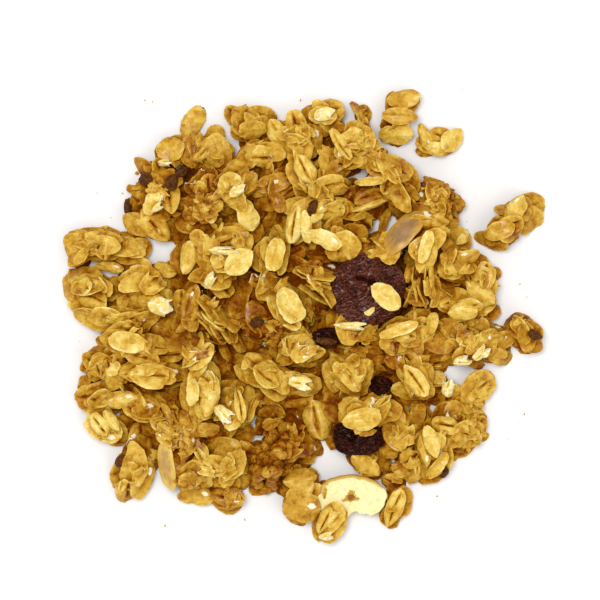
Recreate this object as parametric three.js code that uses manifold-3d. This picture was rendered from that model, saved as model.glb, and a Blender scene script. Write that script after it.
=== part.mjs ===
// A loose heap of toasted oat granola lying on a flat surface, about 122 mm by 114 mm and 17 mm high.
// The heap is a low core with rolled oats stuck to it. A piece of dried fruit, a broken banana chip,
// three raisins and two coconut chips are bodies of their own, and so are three clusters lying beside it.
// Units are millimetres, +Z is up, and the heap rests on z = 0.
import * as THREE from "three";
import { mergeVertices } from "three/addons/utils/BufferGeometryUtils.js";
import Module from "manifold-3d";

// ---- driving sizes ----
const FLAKE_LENGTH = [7.6, 10.4]; // a rolled oat from end to end, least and most
const FLAKE_WIDTH = [0.62, 0.8]; // its width as a share of its length
const FLAKE_THICKNESS = 1.1;
const LARGE_FLAKE_THICKNESS = 1.3;
const BROKEN_SHARE = 0.24; // share of the oats that are broken short
const BROKEN_LENGTH = 0.62;
const BROKEN_WIDTH = 0.8;
const BALL_SIZE = [2.5, 3.6]; // a ball of puffed cereal across, least and most
const SEED_THICKNESS = 1.7;
const CRUMPLE_THICKNESS = 1.5; // a crumpled bit of bran or starch
const HEAP_REACH = [60, 57]; // half the spread of the heap along x and y
const RIM_HEIGHT = 5.5; // how high the oats pile at the rim and over the middle
const MIDDLE_HEIGHT = 15;
const BED_PITCH = 5.0; // spacing of the oats in the lowest layer
const CORE_CELL = 5.0; // facets of the core
const CORE_DEPTH = 0.8; // how far the core stays below the tops of the oats
const FOOT_DEPTH = 2.8; // how far the underside of an oat reaches into it
const FIT_GAP = 0.3; // air between a topping and the heap
const SHOWN = 195; // oats and bits that show, made as solids
const SHOWN_SPACING = 5.5; // least distance between their middles
const LOOSE_SHOWN = 7; // the same for a cluster beside the heap
const LOOSE_SPACING = 3.0;
const LOOSE_LUMP_SHARE = 0.6; // the lump under a loose cluster, as a share of the cluster's spread
const LOOSE_LUMP_HEIGHT = 3.6;
const RIM_SIDES = 7; // sides of an oat's outline
const OAT_ROUGHNESS = 0.09; // how uneven the outline of an oat or of a crumpled bit is
const CRUMPLE_ROUGHNESS = 0.22;
const MAP_CELL = 0.4; // height map on which the oats settle
const MAP_HALF = 72;

// ---- how the oats of a cluster lie ----
const OAT_INSET = [1.7, 1.6]; // how far their middles stay inside the cluster, along and across it
const HIDDEN_INSET = [2.4, 2.2]; // the same for the hidden oats under them
const HIDDEN_AREA = 26; // square millimetres of the cluster for each hidden oat
const HIDDEN_WOBBLE = 0.2;
const CLUSTER_FALL = 0.38; // how steeply the oats fall away towards the cluster's sides
const SLOPE_FOLLOWED = 0.5; // share of the pile's own slope that an oat follows
const SLOPE_REACH = 3.0; // how far round its middle an oat feels that slope
const STEEPEST = 0.6; // the steepest slope that is followed
const GAP_MARGIN = 2.2; // how far the middles of the oats stay off a bare gap
const BED_GAP_MARGIN = 3.0;

// ---- where things lie ----
// Clusters of the lower layer: name, x, y, half length, half width, heading, oats, lay, lean and
// tone, which runs from 0 (dark brown) to 1 (pale gold). Headings and leans are in degrees.
const LOWER = [
  ["hollow west of middle", -17.0, 6.3, 9.0, 8.0, -50, 9, "jumble", 0, 0.20],
  ["hollow in the middle", -9.5, -2.0, 8.0, 6.0, 0, 8, "jumble", 0, 0.12],
  ["hollow beside the fruit", 2.0, 12.0, 9.0, 6.5, 0, 8, "jumble", 0, 0.15],
  ["dip west", -25.8, -5.0, 6.0, 6.0, 80, 6, "jumble", 0, 0.20],
  ["dip south", -9.5, -20.0, 9.0, 5.5, -10, 8, "flat", 0, 0.35],
  ["dip by the balls", -6.0, -27.5, 5.5, 3.5, 0, 5, "jumble", 0, 0.20],
  ["dip under the balls", -2.5, -32.0, 6.0, 4.5, 0, 6, "jumble", 0, 0.25],
  ["dip south west", -28.5, -28.5, 9.0, 4.5, -15, 8, "flat", 0, 0.35],
  ["knob south west", -28.3, -34.0, 4.0, 3.5, 0, 4, "jumble", 0, 0.18],
  ["dip south of the fruit", 10.5, -6.3, 11.0, 5.0, 0, 9, "jumble", 0, 0.20],
  ["dip south east", 22.0, -10.0, 9.0, 6.0, 30, 8, "jumble", 0, 0.25],
  ["dip east", 34.3, 6.3, 9.0, 8.0, 90, 11, "jumble", 0, 0.35],
  ["slope south east", 24.5, -31.0, 8.0, 7.0, 70, 9, "flat", 0, 0.40],
  ["hollow north east", 18.0, 31.0, 9.0, 7.0, 20, 10, "jumble", 0, 0.22],
  ["dip north west", -19.5, 32.5, 9.0, 7.0, 0, 10, "jumble", 0, 0.40],
  ["slope north", -7.0, 31.5, 8.0, 6.0, 70, 9, "flat", 0, 0.30],
  ["slope under the ring", 9.3, 22.5, 8.0, 7.0, -30, 8, "flat", 0, 0.40],
  ["slope west", -38.3, -10.0, 9.0, 6.0, 0, 10, "shingle", 90, 0.45],
  ["slope south west", -38.3, -24.0, 8.0, 5.0, -30, 8, "jumble", 0, 0.46],
  ["slope east", 33.0, -8.0, 9.0, 7.0, 30, 9, "flat", 0, 0.40],
  ["foot by the big gap", 15.5, -37.5, 5.0, 3.5, -40, 4, "flat", 0, 0.45],
  ["foot south", 23.0, -39.3, 5.0, 5.5, -60, 6, "flat", 0, 0.40],
  ["under the fruit", 15.0, 6.0, 9.0, 8.0, 0, 8, "flat", 0, 0.20],
  ["under the long raisin", 14.0, -25.0, 8.0, 6.0, 0, 6, "flat", 0, 0.25],
  ["slope by the banana", 8.0, -45.5, 8.0, 2.5, 10, 4, "flat", 0, 0.35],
];
// Clusters round the rim.
const RIM = [
  ["studded clump", -35.5, 31.0, 9.0, 7.0, -30, 16, "jumble", 0, 0.40],
  ["studded clump foot", -38.5, 22.5, 6.5, 4.0, -20, 6, "flat", 0, 0.50],
  ["bready lump", -25.0, 27.5, 8.5, 6.0, 80, 14, "jumble", 0, 0.22],
  ["north west tip", -32.0, 41.0, 4.5, 3.5, 20, 4, "flat", 0, 0.45],
  ["north west notch", -27.5, 40.5, 3.5, 3.5, 90, 4, "jumble", 0, 0.35],
  ["north west oval", -21.8, 41.0, 4.5, 3.5, 90, 5, "flat", 0, 0.60],
  ["north peak", -13.2, 47.5, 5.8, 4.8, -20, 9, "shingle", -30, 0.50],
  ["north block", -10.5, 40.5, 6.0, 4.5, 0, 8, "flat", 0, 0.55],
  ["pale tongue north", -4.0, 44.5, 5.0, 2.0, -15, 3, "flat", 0, 0.72],
  ["pale crumbs", -17.0, 31.5, 5.5, 4.0, 60, 7, "jumble", 0, 0.60],
  ["west arm", -49.0, 17.8, 9.5, 4.5, -8, 13, "shingle", 100, 0.56],
  ["west arm tip", -55.8, 17.0, 4.0, 2.6, 90, 4, "flat", 0, 0.48],
  ["far west clump", -54.0, 5.5, 7.0, 6.5, -40, 12, "shingle", 150, 0.58],
  ["west block", -40.5, 7.5, 8.0, 6.0, 10, 12, "flat", 0, 0.61],
  ["west shelf", -46.0, -1.0, 12.0, 3.0, -5, 8, "shingle", -80, 0.54],
  ["broad pair west", -44.5, -6.0, 6.5, 5.0, 15, 8, "shingle", -60, 0.70],
  ["west edge upright", -51.5, -12.5, 4.5, 3.0, 90, 5, "jumble", 0, 0.46],
  ["west oval", -47.5, -14.5, 5.0, 4.0, 90, 5, "flat", 0, 0.60],
  ["layered brown edge", -51.5, -21.0, 5.5, 4.5, -20, 9, "jumble", 0, 0.48],
  ["bright pair", -49.3, -27.5, 4.5, 3.5, -50, 4, "flat", 0, 0.72],
  ["south west shelf", -38.3, -14.5, 6.5, 4.0, 0, 8, "shingle", 90, 0.54],
  ["south west clump", -41.5, -38.0, 9.0, 6.0, 80, 14, "shingle", -40, 0.58],
  ["ring leaf", -34.5, -29.0, 4.5, 3.5, -50, 4, "shingle", 40, 0.55],
  ["south leaf clump", -19.5, -38.0, 6.0, 6.0, -60, 11, "flat", 0, 0.66],
  ["south pale slat", -25.0, -38.5, 4.5, 2.5, -70, 3, "shingle", 180, 0.62],
  ["south foot", -27.8, -41.0, 3.5, 3.5, 0, 5, "flat", 0, 0.40],
  ["brown foot", -18.8, -46.0, 3.5, 2.5, 10, 4, "flat", 0, 0.32],
  ["left of the banana", -0.3, -45.5, 7.0, 4.5, 90, 9, "flat", 0, 0.50],
  ["below the banana", 6.5, -52.0, 4.5, 3.5, 60, 6, "flat", 0, 0.65],
  ["right of the banana", 23.0, -48.3, 5.0, 3.5, 70, 4, "flat", 0, 0.50],
  ["south east slats", 31.5, -34.5, 8.5, 6.0, 65, 14, "shingle", -150, 0.58],
  ["brown mass", 40.0, -28.5, 6.5, 5.5, 60, 10, "flat", 0, 0.50],
  ["mottled", 36.5, -18.5, 4.0, 3.5, 80, 6, "jumble", 0, 0.58],
  ["gold stub", 44.5, -18.5, 4.0, 3.0, 50, 5, "flat", 0, 0.60],
  ["east clump", 44.5, -8.0, 8.5, 6.5, 0, 15, "jumble", 0, 0.50],
  ["east tail", 55.6, -4.5, 4.5, 3.0, -60, 6, "jumble", 0, 0.38],
  ["east bright", 41.5, 2.0, 6.0, 5.0, -30, 8, "flat", 0, 0.62],
  ["east upper", 45.0, 10.5, 6.0, 5.5, 80, 10, "flat", 0, 0.60],
  ["east inner", 37.5, 13.5, 6.0, 4.5, 0, 8, "jumble", 0, 0.50],
  ["papery", 39.5, 19.3, 4.0, 2.8, -5, 4, "flat", 0, 0.78],
  ["lumpy brown", 33.0, 28.5, 6.0, 5.5, -30, 15, "jumble", 0, 0.35],
  ["north east shingles", 23.8, 31.0, 7.0, 5.0, -55, 11, "shingle", -150, 0.52],
  ["north east slope", 20.5, 38.0, 6.5, 3.5, -35, 7, "shingle", 60, 0.45],
  ["north east block", 12.5, 42.5, 5.5, 4.5, -50, 8, "flat", 0, 0.55],
  ["north crown", 5.0, 49.3, 4.5, 3.8, 0, 6, "flat", 0, 0.62],
  ["north stack", -0.5, 43.5, 5.0, 4.5, 80, 7, "flat", 0, 0.60],
  ["leaf north east", 32.0, 22.0, 5.0, 4.5, -60, 6, "flat", 0, 0.45],
  ["standing sliver", 15.5, 49.0, 4.5, 1.5, -65, 2, "edge", 20, 0.30],
];
// Clusters of the upper layer.
const UPPER = [
  ["pale curls", -22.5, 9.5, 5.0, 4.0, -20, 6, "jumble", 0, 0.55],
  ["between the brights", -25.5, 17.5, 5.0, 4.0, 90, 5, "shingle", 180, 0.50],
  ["brown leaf patch", -17.5, 19.0, 6.0, 4.0, 10, 7, "flat", 0, 0.40],
  ["dim middle", -10.0, 8.0, 4.5, 4.0, 90, 5, "flat", 0, 0.38],
  ["north of the fruit", 10.5, 17.5, 7.0, 4.0, -10, 8, "flat", 0, 0.48],
  ["nubs", 20.5, 16.5, 4.0, 3.5, 0, 6, "jumble", 0, 0.50],
  ["left of the fruit", 3.5, 8.0, 6.5, 3.0, -70, 8, "edge", 60, 0.60],
  ["below the fruit", 13.0, -4.0, 8.0, 3.0, -10, 7, "flat", 0, 0.42],
  ["upper north", 2.0, 34.5, 6.5, 5.0, -60, 8, "shingle", 30, 0.62],
  ["upper north right", 7.5, 36.0, 4.5, 4.5, 80, 6, "flat", 0, 0.50],
  ["long lens", 5.5, 31.5, 5.0, 2.5, 5, 4, "shingle", -90, 0.52],
  ["upper north east", 14.8, 43.0, 5.0, 3.5, 0, 5, "flat", 0, 0.50],
  ["bright fan west", -19.5, 14.5, 6.0, 5.0, 25, 9, "shingle", 120, 0.72],
  ["bright fan middle", -7.0, 15.0, 5.0, 5.0, 70, 10, "shingle", 0, 0.72],
  ["two lobed", 0.5, 22.5, 5.5, 6.0, 80, 8, "flat", 0, 0.80],
  ["ring", 3.8, 27.0, 7.0, 2.8, 0, 6, "flat", 0, 0.66],
  ["standing sheaf", -21.8, -0.8, 9.0, 4.5, -50, 16, "edge", 40, 0.52],
  ["brown uprights", -28.3, 2.0, 5.5, 4.0, 80, 6, "shingle", 180, 0.42],
  ["bright middle", -2.0, 2.5, 6.5, 6.0, -60, 13, "shingle", 30, 0.72],
  ["rosette", -0.5, -8.5, 7.0, 5.0, 0, 13, "flat", 0, 0.62],
  ["white edges", -1.0, -17.3, 5.5, 3.0, 0, 7, "shingle", -90, 0.66],
  ["smooth west", -27.0, -11.0, 5.0, 4.5, 50, 7, "shingle", 150, 0.70],
  ["bright south west", -24.5, -19.5, 6.8, 5.4, 75, 11, "flat", 0, 0.76],
  ["crease stack", -17.0, -23.5, 6.0, 5.0, 75, 10, "shingle", 160, 0.72],
  ["long shingles", -10.0, -14.0, 7.5, 4.5, -40, 11, "shingle", 50, 0.60],
  ["edges east", 30.5, 5.0, 7.5, 5.5, 80, 12, "edge", 0, 0.48],
  ["shells", 25.5, -5.0, 8.5, 4.5, 15, 13, "shingle", -80, 0.62],
  ["dappled clump", 11.0, -14.5, 7.0, 6.0, -60, 14, "jumble", 0, 0.60],
  ["crease clump", 28.0, -16.3, 6.0, 5.0, -55, 9, "flat", 0, 0.66],
  ["on the long raisin", 16.8, -24.0, 7.5, 4.2, 15, 12, "flat", 0, 0.62],
  ["right of the fruit", 30.5, 16.3, 5.0, 3.5, 70, 5, "flat", 0, 0.70],
];
// Clusters lying beside the heap, in the same columns.
const LOOSE = [
  ["loose_cluster_north", 24.4, 49.9, 8.0, 4.2, 78, 3, "flat", 0, 0.45],
  ["loose_cluster_north_east", 34.0, 42.8, 4.6, 3.0, 0, 2, "flat", 0, 0.60],
  ["loose_cluster_east", 52.0, 23.0, 8.8, 4.6, 42, 10, "jumble", 0, 0.50],
];
// Single oats on the loose clusters: cluster, x, y, length, width, heading, tone.
const LOOSE_FLAKES = [
  ["loose_cluster_north", 25.3, 54.2, 8.6, 5.4, 10, 0.55],
  ["loose_cluster_north", 24.3, 49.8, 9.2, 4.4, -5, 0.42],
  ["loose_cluster_north", 23.3, 45.3, 8.6, 6.0, 5, 0.78],
  ["loose_cluster_north_east", 30.6, 44.6, 7.0, 4.4, -70, 0.60],
  ["loose_cluster_north_east", 33.6, 41.6, 6.4, 4.8, -10, 0.66],
  ["loose_cluster_north_east", 37.4, 44.0, 7.6, 5.0, 50, 0.84],
  ["loose_cluster_east", 53.0, 26.5, 8.4, 5.2, 60, 0.72],
  ["loose_cluster_east", 49.0, 21.0, 8.4, 5.0, 20, 0.44],
];
// Areas of the lowest layer: x, y, half length, half width.
const BEDS = [
  [-3.0, 3.0, 44.0, 38.0],
  [0.0, 37.0, 26.0, 9.0],
  [-27.0, 28.0, 15.0, 12.0],
  [22.0, 25.0, 14.0, 9.0],
  [-6.0, -30.0, 30.0, 11.0],
  [-33.0, -22.0, 15.0, 14.0],
  [28.0, -26.0, 15.0, 14.0],
  [39.0, 2.0, 9.0, 13.0],
  [-8.0, -40.0, 7.0, 5.0],
];
// Places where the bare surface shows through: x, y, half length, half width.
const GAPS = [
  [7.5, -36.8, 3.8, 3.3],
  [-36.8, 17.8, 2.6, 0.7],
  [39.5, -16.0, 2.2, 3.0],
  [26.8, -25.8, 0.2, 1.0],
  [-17.5, 41.8, 1.2, 1.6],
  [13.5, 35.0, 0.8, 0.8],
  [20.0, 21.3, 0.8, 0.8],
  [-25.0, -31.5, 1.0, 1.0],
  [-11.8, -30.3, 1.0, 1.0],
  [22.5, -36.8, 1.4, 1.4],
];
// Single large oats on top: x, y, length, width, heading, tone.
const LARGE_FLAKES = [
  [16.8, 33.3, 8.5, 2.4, 8, 0.80],
  [17.0, 27.3, 10.5, 2.4, 18, 0.78],
  [20.5, 23.6, 7.0, 2.6, 70, 0.58],
  [28.6, -25.2, 7.2, 4.6, 80, 0.45],
  [-48.8, 12.0, 7.6, 4.0, -8, 0.62],
  [-27.8, 48.5, 9.5, 7.0, 60, 0.60],
  [-33.0, 41.5, 7.5, 6.2, 20, 0.50],
  [-28.8, 14.5, 8.5, 4.5, 80, 0.80],
  [-15.8, 13.3, 8.5, 6.0, 35, 0.88],
  [-13.8, 25.0, 8.5, 6.0, -65, 0.88],
  [-2.3, 22.5, 9.5, 4.6, 80, 0.92],
  [1.0, 22.0, 8.5, 3.8, -85, 0.88],
  [5.5, 18.8, 9.0, 6.5, -20, 0.92],
  [-3.3, 2.5, 9.5, 7.0, -60, 0.92],
  [-7.0, 15.0, 8.5, 6.0, 75, 0.78],
  [-45.8, -21.3, 9.5, 5.0, 5, 0.88],
  [-51.0, -27.5, 6.5, 4.5, -50, 0.88],
  [-47.8, -26.3, 6.5, 3.5, -55, 0.86],
  [-27.5, -19.3, 7.0, 5.0, 80, 0.92],
  [-23.3, -22.0, 7.0, 5.0, 70, 0.82],
  [-15.8, -22.5, 9.0, 3.6, -80, 0.82],
  [-24.5, -28.8, 7.5, 5.0, 0, 0.50],
  [-27.0, -45.5, 9.0, 7.5, -5, 0.60],
  [-0.8, -40.8, 8.5, 6.5, 10, 0.55],
  [-0.3, -48.3, 9.5, 8.5, 0, 0.42],
  [5.5, -51.3, 7.5, 3.8, 65, 0.68],
  [3.5, -26.3, 10.5, 7.0, -75, 0.64],
  [23.0, -48.3, 10.5, 6.0, 70, 0.66],
  [28.0, -16.3, 9.5, 6.5, -55, 0.72],
  [39.8, 0.8, 7.5, 5.8, 5, 0.80],
  [44.3, 5.8, 9.0, 5.5, -40, 0.84],
  [45.5, 11.3, 9.0, 6.0, 75, 0.72],
  [30.5, 16.8, 8.5, 4.0, 75, 0.88],
  [9.3, 42.5, 9.0, 4.0, -55, 0.72],
  [0.5, 36.3, 8.5, 5.0, -60, 0.74],
  [14.8, -25.8, 10.0, 6.0, 10, 0.68],
  [35.5, -27.5, 7.0, 5.0, -10, 0.78],
  [23.8, -3.8, 10.0, 3.5, 20, 0.72],
  [31.8, -2.5, 6.5, 4.5, 70, 0.68],
  [-34.5, 11.3, 6.0, 4.5, -20, 0.80],
  [-35.0, 3.8, 6.0, 6.0, 0, 0.94],
  [-37.8, 28.0, 6.5, 4.5, 60, 0.94],
  [15.5, -37.5, 8.5, 5.5, -40, 0.50],
  [5.0, 49.8, 7.0, 7.0, 0, 0.85],
  [32.0, -31.5, 8.5, 4.0, -70, 0.80],
  [30.0, -33.8, 8.5, 3.8, -80, 0.72],
  [33.5, -37.5, 8.0, 3.5, 55, 0.74],
];
// Dark seeds and bran: x, y, length, width, heading.
const SEEDS = [
  [-39.0, 33.8, 3.6, 3.2, 0],
  [-32.5, 33.3, 4.2, 3.0, 70],
  [-30.3, 35.8, 3.4, 2.6, 30],
  [-44.0, 27.5, 4.5, 2.0, 90],
  [2.5, 26.8, 4.0, 2.5, 70],
  [57.8, -5.0, 3.8, 2.6, -20],
  [-11.3, -1.8, 3.6, 2.6, 20],
  [-45.5, -36.3, 3.2, 2.4, 60],
  [35.5, -39.3, 3.2, 2.2, 60],
];
// Crumpled white bits: x, y, length, width, heading.
const CRUMPLES = [
  [-34.3, 38.0, 4.2, 2.0, 0],
  [-36.3, 26.8, 3.6, 2.4, 40],
  [5.3, 50.0, 5.5, 4.2, 10],
  [-35.8, 2.5, 7.0, 5.2, -15],
  [-19.5, 15.8, 8.0, 2.6, -5],
  [-0.8, -17.0, 6.0, 3.4, -10],
  [-19.5, -24.5, 6.0, 4.0, -40],
  [5.8, -55.0, 4.0, 3.0, 20],
  [-23.0, 8.8, 5.0, 3.0, 60],
  [-16.5, 31.3, 5.0, 3.0, 40],
  [39.8, 19.3, 7.0, 4.5, 20],
  [39.8, -11.3, 5.0, 3.0, 10],
  [44.3, -9.3, 5.0, 3.0, 50],
  [36.3, -18.3, 5.0, 3.6, 80],
  [11.8, -2.5, 8.5, 2.8, 0],
];
// Lumps of puffed cereal balls: x, y, half length, half width, heading, balls.
const BALL_LUMPS = [
  [-7.0, -36.0, 9.5, 5.6, 65, 64],
];

// ---- the larger pieces ----
// The middle of each, its full sizes and its heading in degrees. Each comes to rest on the pile, but
// the banana chip lies at a set level. A shrivelled one has puckers of its own depth, the fold.
const FRUIT = {
  x: 16.1, y: 6.3, length: 19.0, width: 18.0, thickness: 5.2, heading: 20,
  puckers: 5, fold: 0.45, sides: 26, rings: 10,
};
const RAISIN_SOUTH = {
  x: 13.8, y: -30.4, length: 13.0, width: 10.0, thickness: 5.6, heading: -5,
  puckers: 3, fold: 0.35, sides: 16, rings: 8,
};
const RAISIN_MIDDLE = {
  x: 6.5, y: -5.6, length: 9.0, width: 5.0, thickness: 4.0, heading: 0,
  puckers: 3, fold: 0.2, sides: 12, rings: 6,
};
const RAISIN_EAST = {
  x: 19.6, y: -17.6, length: 6.0, width: 4.4, thickness: 3.6, heading: 10,
  puckers: 3, fold: 0.15, sides: 12, rings: 6,
};
const OAT_ON_FRUIT = {
  x: 20.5, y: 4.6, length: 9.0, width: 5.8, thickness: 1.7, heading: -38,
  lift: 0.75, tilt: [0.22, -0.1],
};
const BANANA = { x: 12.0, y: -45.7, z: 3.4, length: 18.2, width: 11.4, thickness: 2.8, heading: 0 };
const BANANA_BROKEN_EDGE = -4.4; // the broken side, measured from the middle of the slice
const BANANA_NOTCH = { x: 1.8, width: 1.6, depth: 0.9 }; // a bite in that side
const BANANA_SIDES = 30;
const BANANA_TILT = [0.05, -0.06];
const COCONUT_EAST = { x: 25.0, y: 20.6, length: 13.2, width: 6.6, thickness: 1.1, heading: 47 };
const COCONUT_SOUTH_WEST = { x: -34.0, y: -37.6, length: 12.6, width: 4.6, thickness: 1.1, heading: 95 };
const COCONUT_BOW = 0.7;

// ---- settling ----
// How far the oats of a lay wobble, and how far they lean (radians).
const LAYS = { flat: [0.34, 0], shingle: [0.2, 0.5], edge: [0.18, 1.2], jumble: [0.8, 0] };
const GOLDEN_ANGLE = 2.399963;
const DEGREE = Math.PI / 180;
const CELLS = Math.round((2 * MAP_HALF) / MAP_CELL);
const height = new Float64Array(CELLS * CELLS);
const owner = new Int32Array(CELLS * CELLS).fill(-1);
const blocked = new Uint8Array(CELLS * CELLS);
const placed = [];
const clearOf = [];

// A repeatable dice. Each cluster has its own, so a change to one leaves the others as they are.
class Dice {
  constructor(seed) {
    this.state = seed * 7919 + 17;
    for (let i = 0; i < 3; i++) {
      this.roll();
    }
  }
  roll() {
    this.state = (this.state * 16807) % 2147483647;
    return this.state / 2147483647;
  }
  between(least, most) {
    return least + (most - least) * this.roll();
  }
  spread() {
    return this.roll() + this.roll() - 1;
  }
}

const cellOf = (v) => Math.max(0, Math.min(CELLS - 1, Math.trunc((v + MAP_HALF) / MAP_CELL)));
const middleOf = (cell) => (cell + 0.5) * MAP_CELL - MAP_HALF;
const inside = (x, y, spot, grow) =>
  ((x - spot[0]) / (spot[2] + grow)) ** 2 + ((y - spot[1]) / (spot[3] + grow)) ** 2 < 1;

// Oats keep off the gaps, and off the tops of the fruit, the middle raisin and the banana chip.
const keptClear = (x, y) =>
  GAPS.some((gap) => inside(x, y, gap, GAP_MARGIN)) || clearOf.some((spot) => inside(x, y, spot, 0));

// Slope of the pile within a reach of a point.
function slopeAt(x, y, reach) {
  let gx = 0;
  let gy = 0;
  let span = 0;
  for (let j = cellOf(y - reach); j <= cellOf(y + reach); j++) {
    for (let i = cellOf(x - reach); i <= cellOf(x + reach); i++) {
      const h = height[j * CELLS + i];
      gx += h * (middleOf(i) - x);
      gy += h * (middleOf(j) - y);
      span += (middleOf(i) - x) ** 2;
    }
  }
  gx /= span;
  gy /= span;
  const keep = Math.min(1, STEEPEST / Math.max(1e-6, Math.hypot(gx, gy)));
  return [gx * keep, gy * keep];
}

// Axes of a piece: along its length, across it, and out of its face.
function axesOf(tiltX, tiltY, heading) {
  const normal = new THREE.Vector3(tiltX, tiltY, 1).normalize();
  const along = new THREE.Vector3(Math.cos(heading), Math.sin(heading), 0);
  along.addScaledVector(normal, -along.dot(normal));
  along.normalize();
  const across = new THREE.Vector3().crossVectors(normal, along);
  return { along, across, normal };
}

// How high the pile may grow at a point. Under the banana chip it stays below its underside.
const BANANA_UNDERSIDE = BANANA.z - BANANA.thickness / 2 - FLAKE_THICKNESS / 2;
const bananaSpot = [BANANA.x, BANANA.y, BANANA.length / 2, BANANA.width / 2];
function ceilingAt(x, y) {
  if (inside(x, y, bananaSpot, 0)) {
    return BANANA_UNDERSIDE;
  }
  const r = Math.hypot(x / HEAP_REACH[0], y / HEAP_REACH[1]);
  return RIM_HEIGHT + (MIDDLE_HEIGHT - RIM_HEIGHT) * Math.max(0, 1 - r ** 2.2);
}

// Lowers an oval piece onto the pile. It comes to rest where a share of its underside touches,
// sunk a little, and the height map then carries it. A piece with a level of its own stays there.
function settle(piece) {
  const { x, y, size, axes } = piece;
  const [a, b, c] = size.map((s) => s / 2);
  const { along: u, across: v, normal: n } = axes;
  const xx = (u.x / a) ** 2 + (v.x / b) ** 2 + (n.x / c) ** 2;
  const yy = (u.y / a) ** 2 + (v.y / b) ** 2 + (n.y / c) ** 2;
  const zz = (u.z / a) ** 2 + (v.z / b) ** 2 + (n.z / c) ** 2;
  const xy = (u.x * u.y) / a ** 2 + (v.x * v.y) / b ** 2 + (n.x * n.y) / c ** 2;
  const xz = (u.x * u.z) / a ** 2 + (v.x * v.z) / b ** 2 + (n.x * n.z) / c ** 2;
  const yz = (u.y * u.z) / a ** 2 + (v.y * v.z) / b ** 2 + (n.y * n.z) / c ** 2;
  const reachX = Math.hypot(a * u.x, b * v.x, c * n.x);
  const reachY = Math.hypot(a * u.y, b * v.y, c * n.y);
  const cover = [];
  const lifts = [];
  let floor = -Infinity;
  for (let j = cellOf(y - reachY); j <= cellOf(y + reachY); j++) {
    for (let i = cellOf(x - reachX); i <= cellOf(x + reachX); i++) {
      const dx = middleOf(i) - x;
      const dy = middleOf(j) - y;
      const half = xz * dx + yz * dy;
      const rest = half * half - zz * (xx * dx * dx + 2 * xy * dx * dy + yy * dy * dy - 1);
      if (rest <= 0) {
        continue;
      }
      const cell = j * CELLS + i;
      if (blocked[cell] && piece.group === "heap") {
        return null;
      }
      const under = (-half - Math.sqrt(rest)) / zz;
      cover.push([cell, (-half + Math.sqrt(rest)) / zz]);
      lifts.push(height[cell] - under);
      floor = Math.max(floor, -under);
    }
  }
  if (lifts.length === 0) {
    return null;
  }
  let z = piece.z;
  if (z === undefined) {
    lifts.sort((p, q) => p - q);
    z = lifts[Math.trunc(piece.share * (lifts.length - 1))] - piece.sink;
    if (z > piece.ceiling) {
      z = piece.ceiling + 0.25 * (z - piece.ceiling);
    }
    z = Math.max(z, floor);
  }
  for (const [cell, over] of cover) {
    if (z + over > height[cell]) {
      height[cell] = z + over;
      owner[cell] = placed.length;
    }
  }
  const done = { ...piece, z };
  placed.push(done);
  return done;
}

// The oats of one cluster, or the hidden ones below it.
function layCluster(row, seed, group, below) {
  const [, x0, y0, halfLength, halfWidth, heading, oats, lay, lean, tone] = row;
  const dice = new Dice(seed + (below ? 500 : 0));
  const count = below ? Math.max(2, Math.round((halfLength * halfWidth * Math.PI) / HIDDEN_AREA)) : oats;
  const [wobble, base] = below ? [HIDDEN_WOBBLE, 0] : LAYS[lay];
  const style = below ? "flat" : lay;
  const inset = below ? HIDDEN_INSET : OAT_INSET;
  const reachA = Math.max(1.0, halfLength - inset[0]);
  const reachB = Math.max(0.8, halfWidth - inset[1]);
  const turn = heading * DEGREE;
  for (let k = 0; k < count; k++) {
    const r = below ? 0.8 * Math.sqrt((k + 0.5) / count) : Math.sqrt(1 - (0.97 * (k + 0.5)) / count);
    const angle = dice.roll() * 1.2 + k * GOLDEN_ANGLE;
    const a = reachA * r * Math.cos(angle);
    const b = reachB * r * Math.sin(angle);
    const x = x0 + a * Math.cos(turn) - b * Math.sin(turn);
    const y = y0 + a * Math.sin(turn) + b * Math.cos(turn);
    let length = dice.between(...FLAKE_LENGTH);
    let width = length * dice.between(...FLAKE_WIDTH);
    if (dice.roll() < BROKEN_SHARE) {
      length *= BROKEN_LENGTH;
      width *= BROKEN_WIDTH;
    }
    const wobbleX = wobble * 1.5 * dice.spread();
    const wobbleY = wobble * 1.5 * dice.spread();
    const leanTurn = (lean + 22 * dice.spread()) * DEGREE;
    const leanBy = base ? Math.tan(base * (1 + 0.15 * dice.spread())) : 0;
    const swing = dice.spread();
    const shade = tone + 0.12 * dice.spread();
    if (group === "heap" && keptClear(x, y)) {
      continue;
    }
    const [gx, gy] = slopeAt(x, y, SLOPE_REACH);
    const fallX = (CLUSTER_FALL * (x - x0)) / Math.max(halfLength, 4);
    const fallY = (CLUSTER_FALL * (y - y0)) / Math.max(halfWidth, 4);
    const tiltX = wobbleX - SLOPE_FOLLOWED * gx + fallX + leanBy * Math.cos(leanTurn);
    const tiltY = wobbleY - SLOPE_FOLLOWED * gy + fallY + leanBy * Math.sin(leanTurn);
    const reachHeading = style === "flat" || style === "jumble" ? 80 : 35;
    const facing = style === "edge" ? lean + 90 + 12 * swing : heading + reachHeading * swing;
    settle({
      kind: "flake",
      group,
      x,
      y,
      size: [length, width, FLAKE_THICKNESS],
      axes: axesOf(tiltX, tiltY, facing * DEGREE),
      share: 0.62,
      sink: below ? 0.5 : 0.25,
      ceiling: ceilingAt(x, y) * (below ? 0.5 : 1),
      tone: below ? Math.max(0.1, tone - 0.3) : shade,
    });
  }
}

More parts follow.
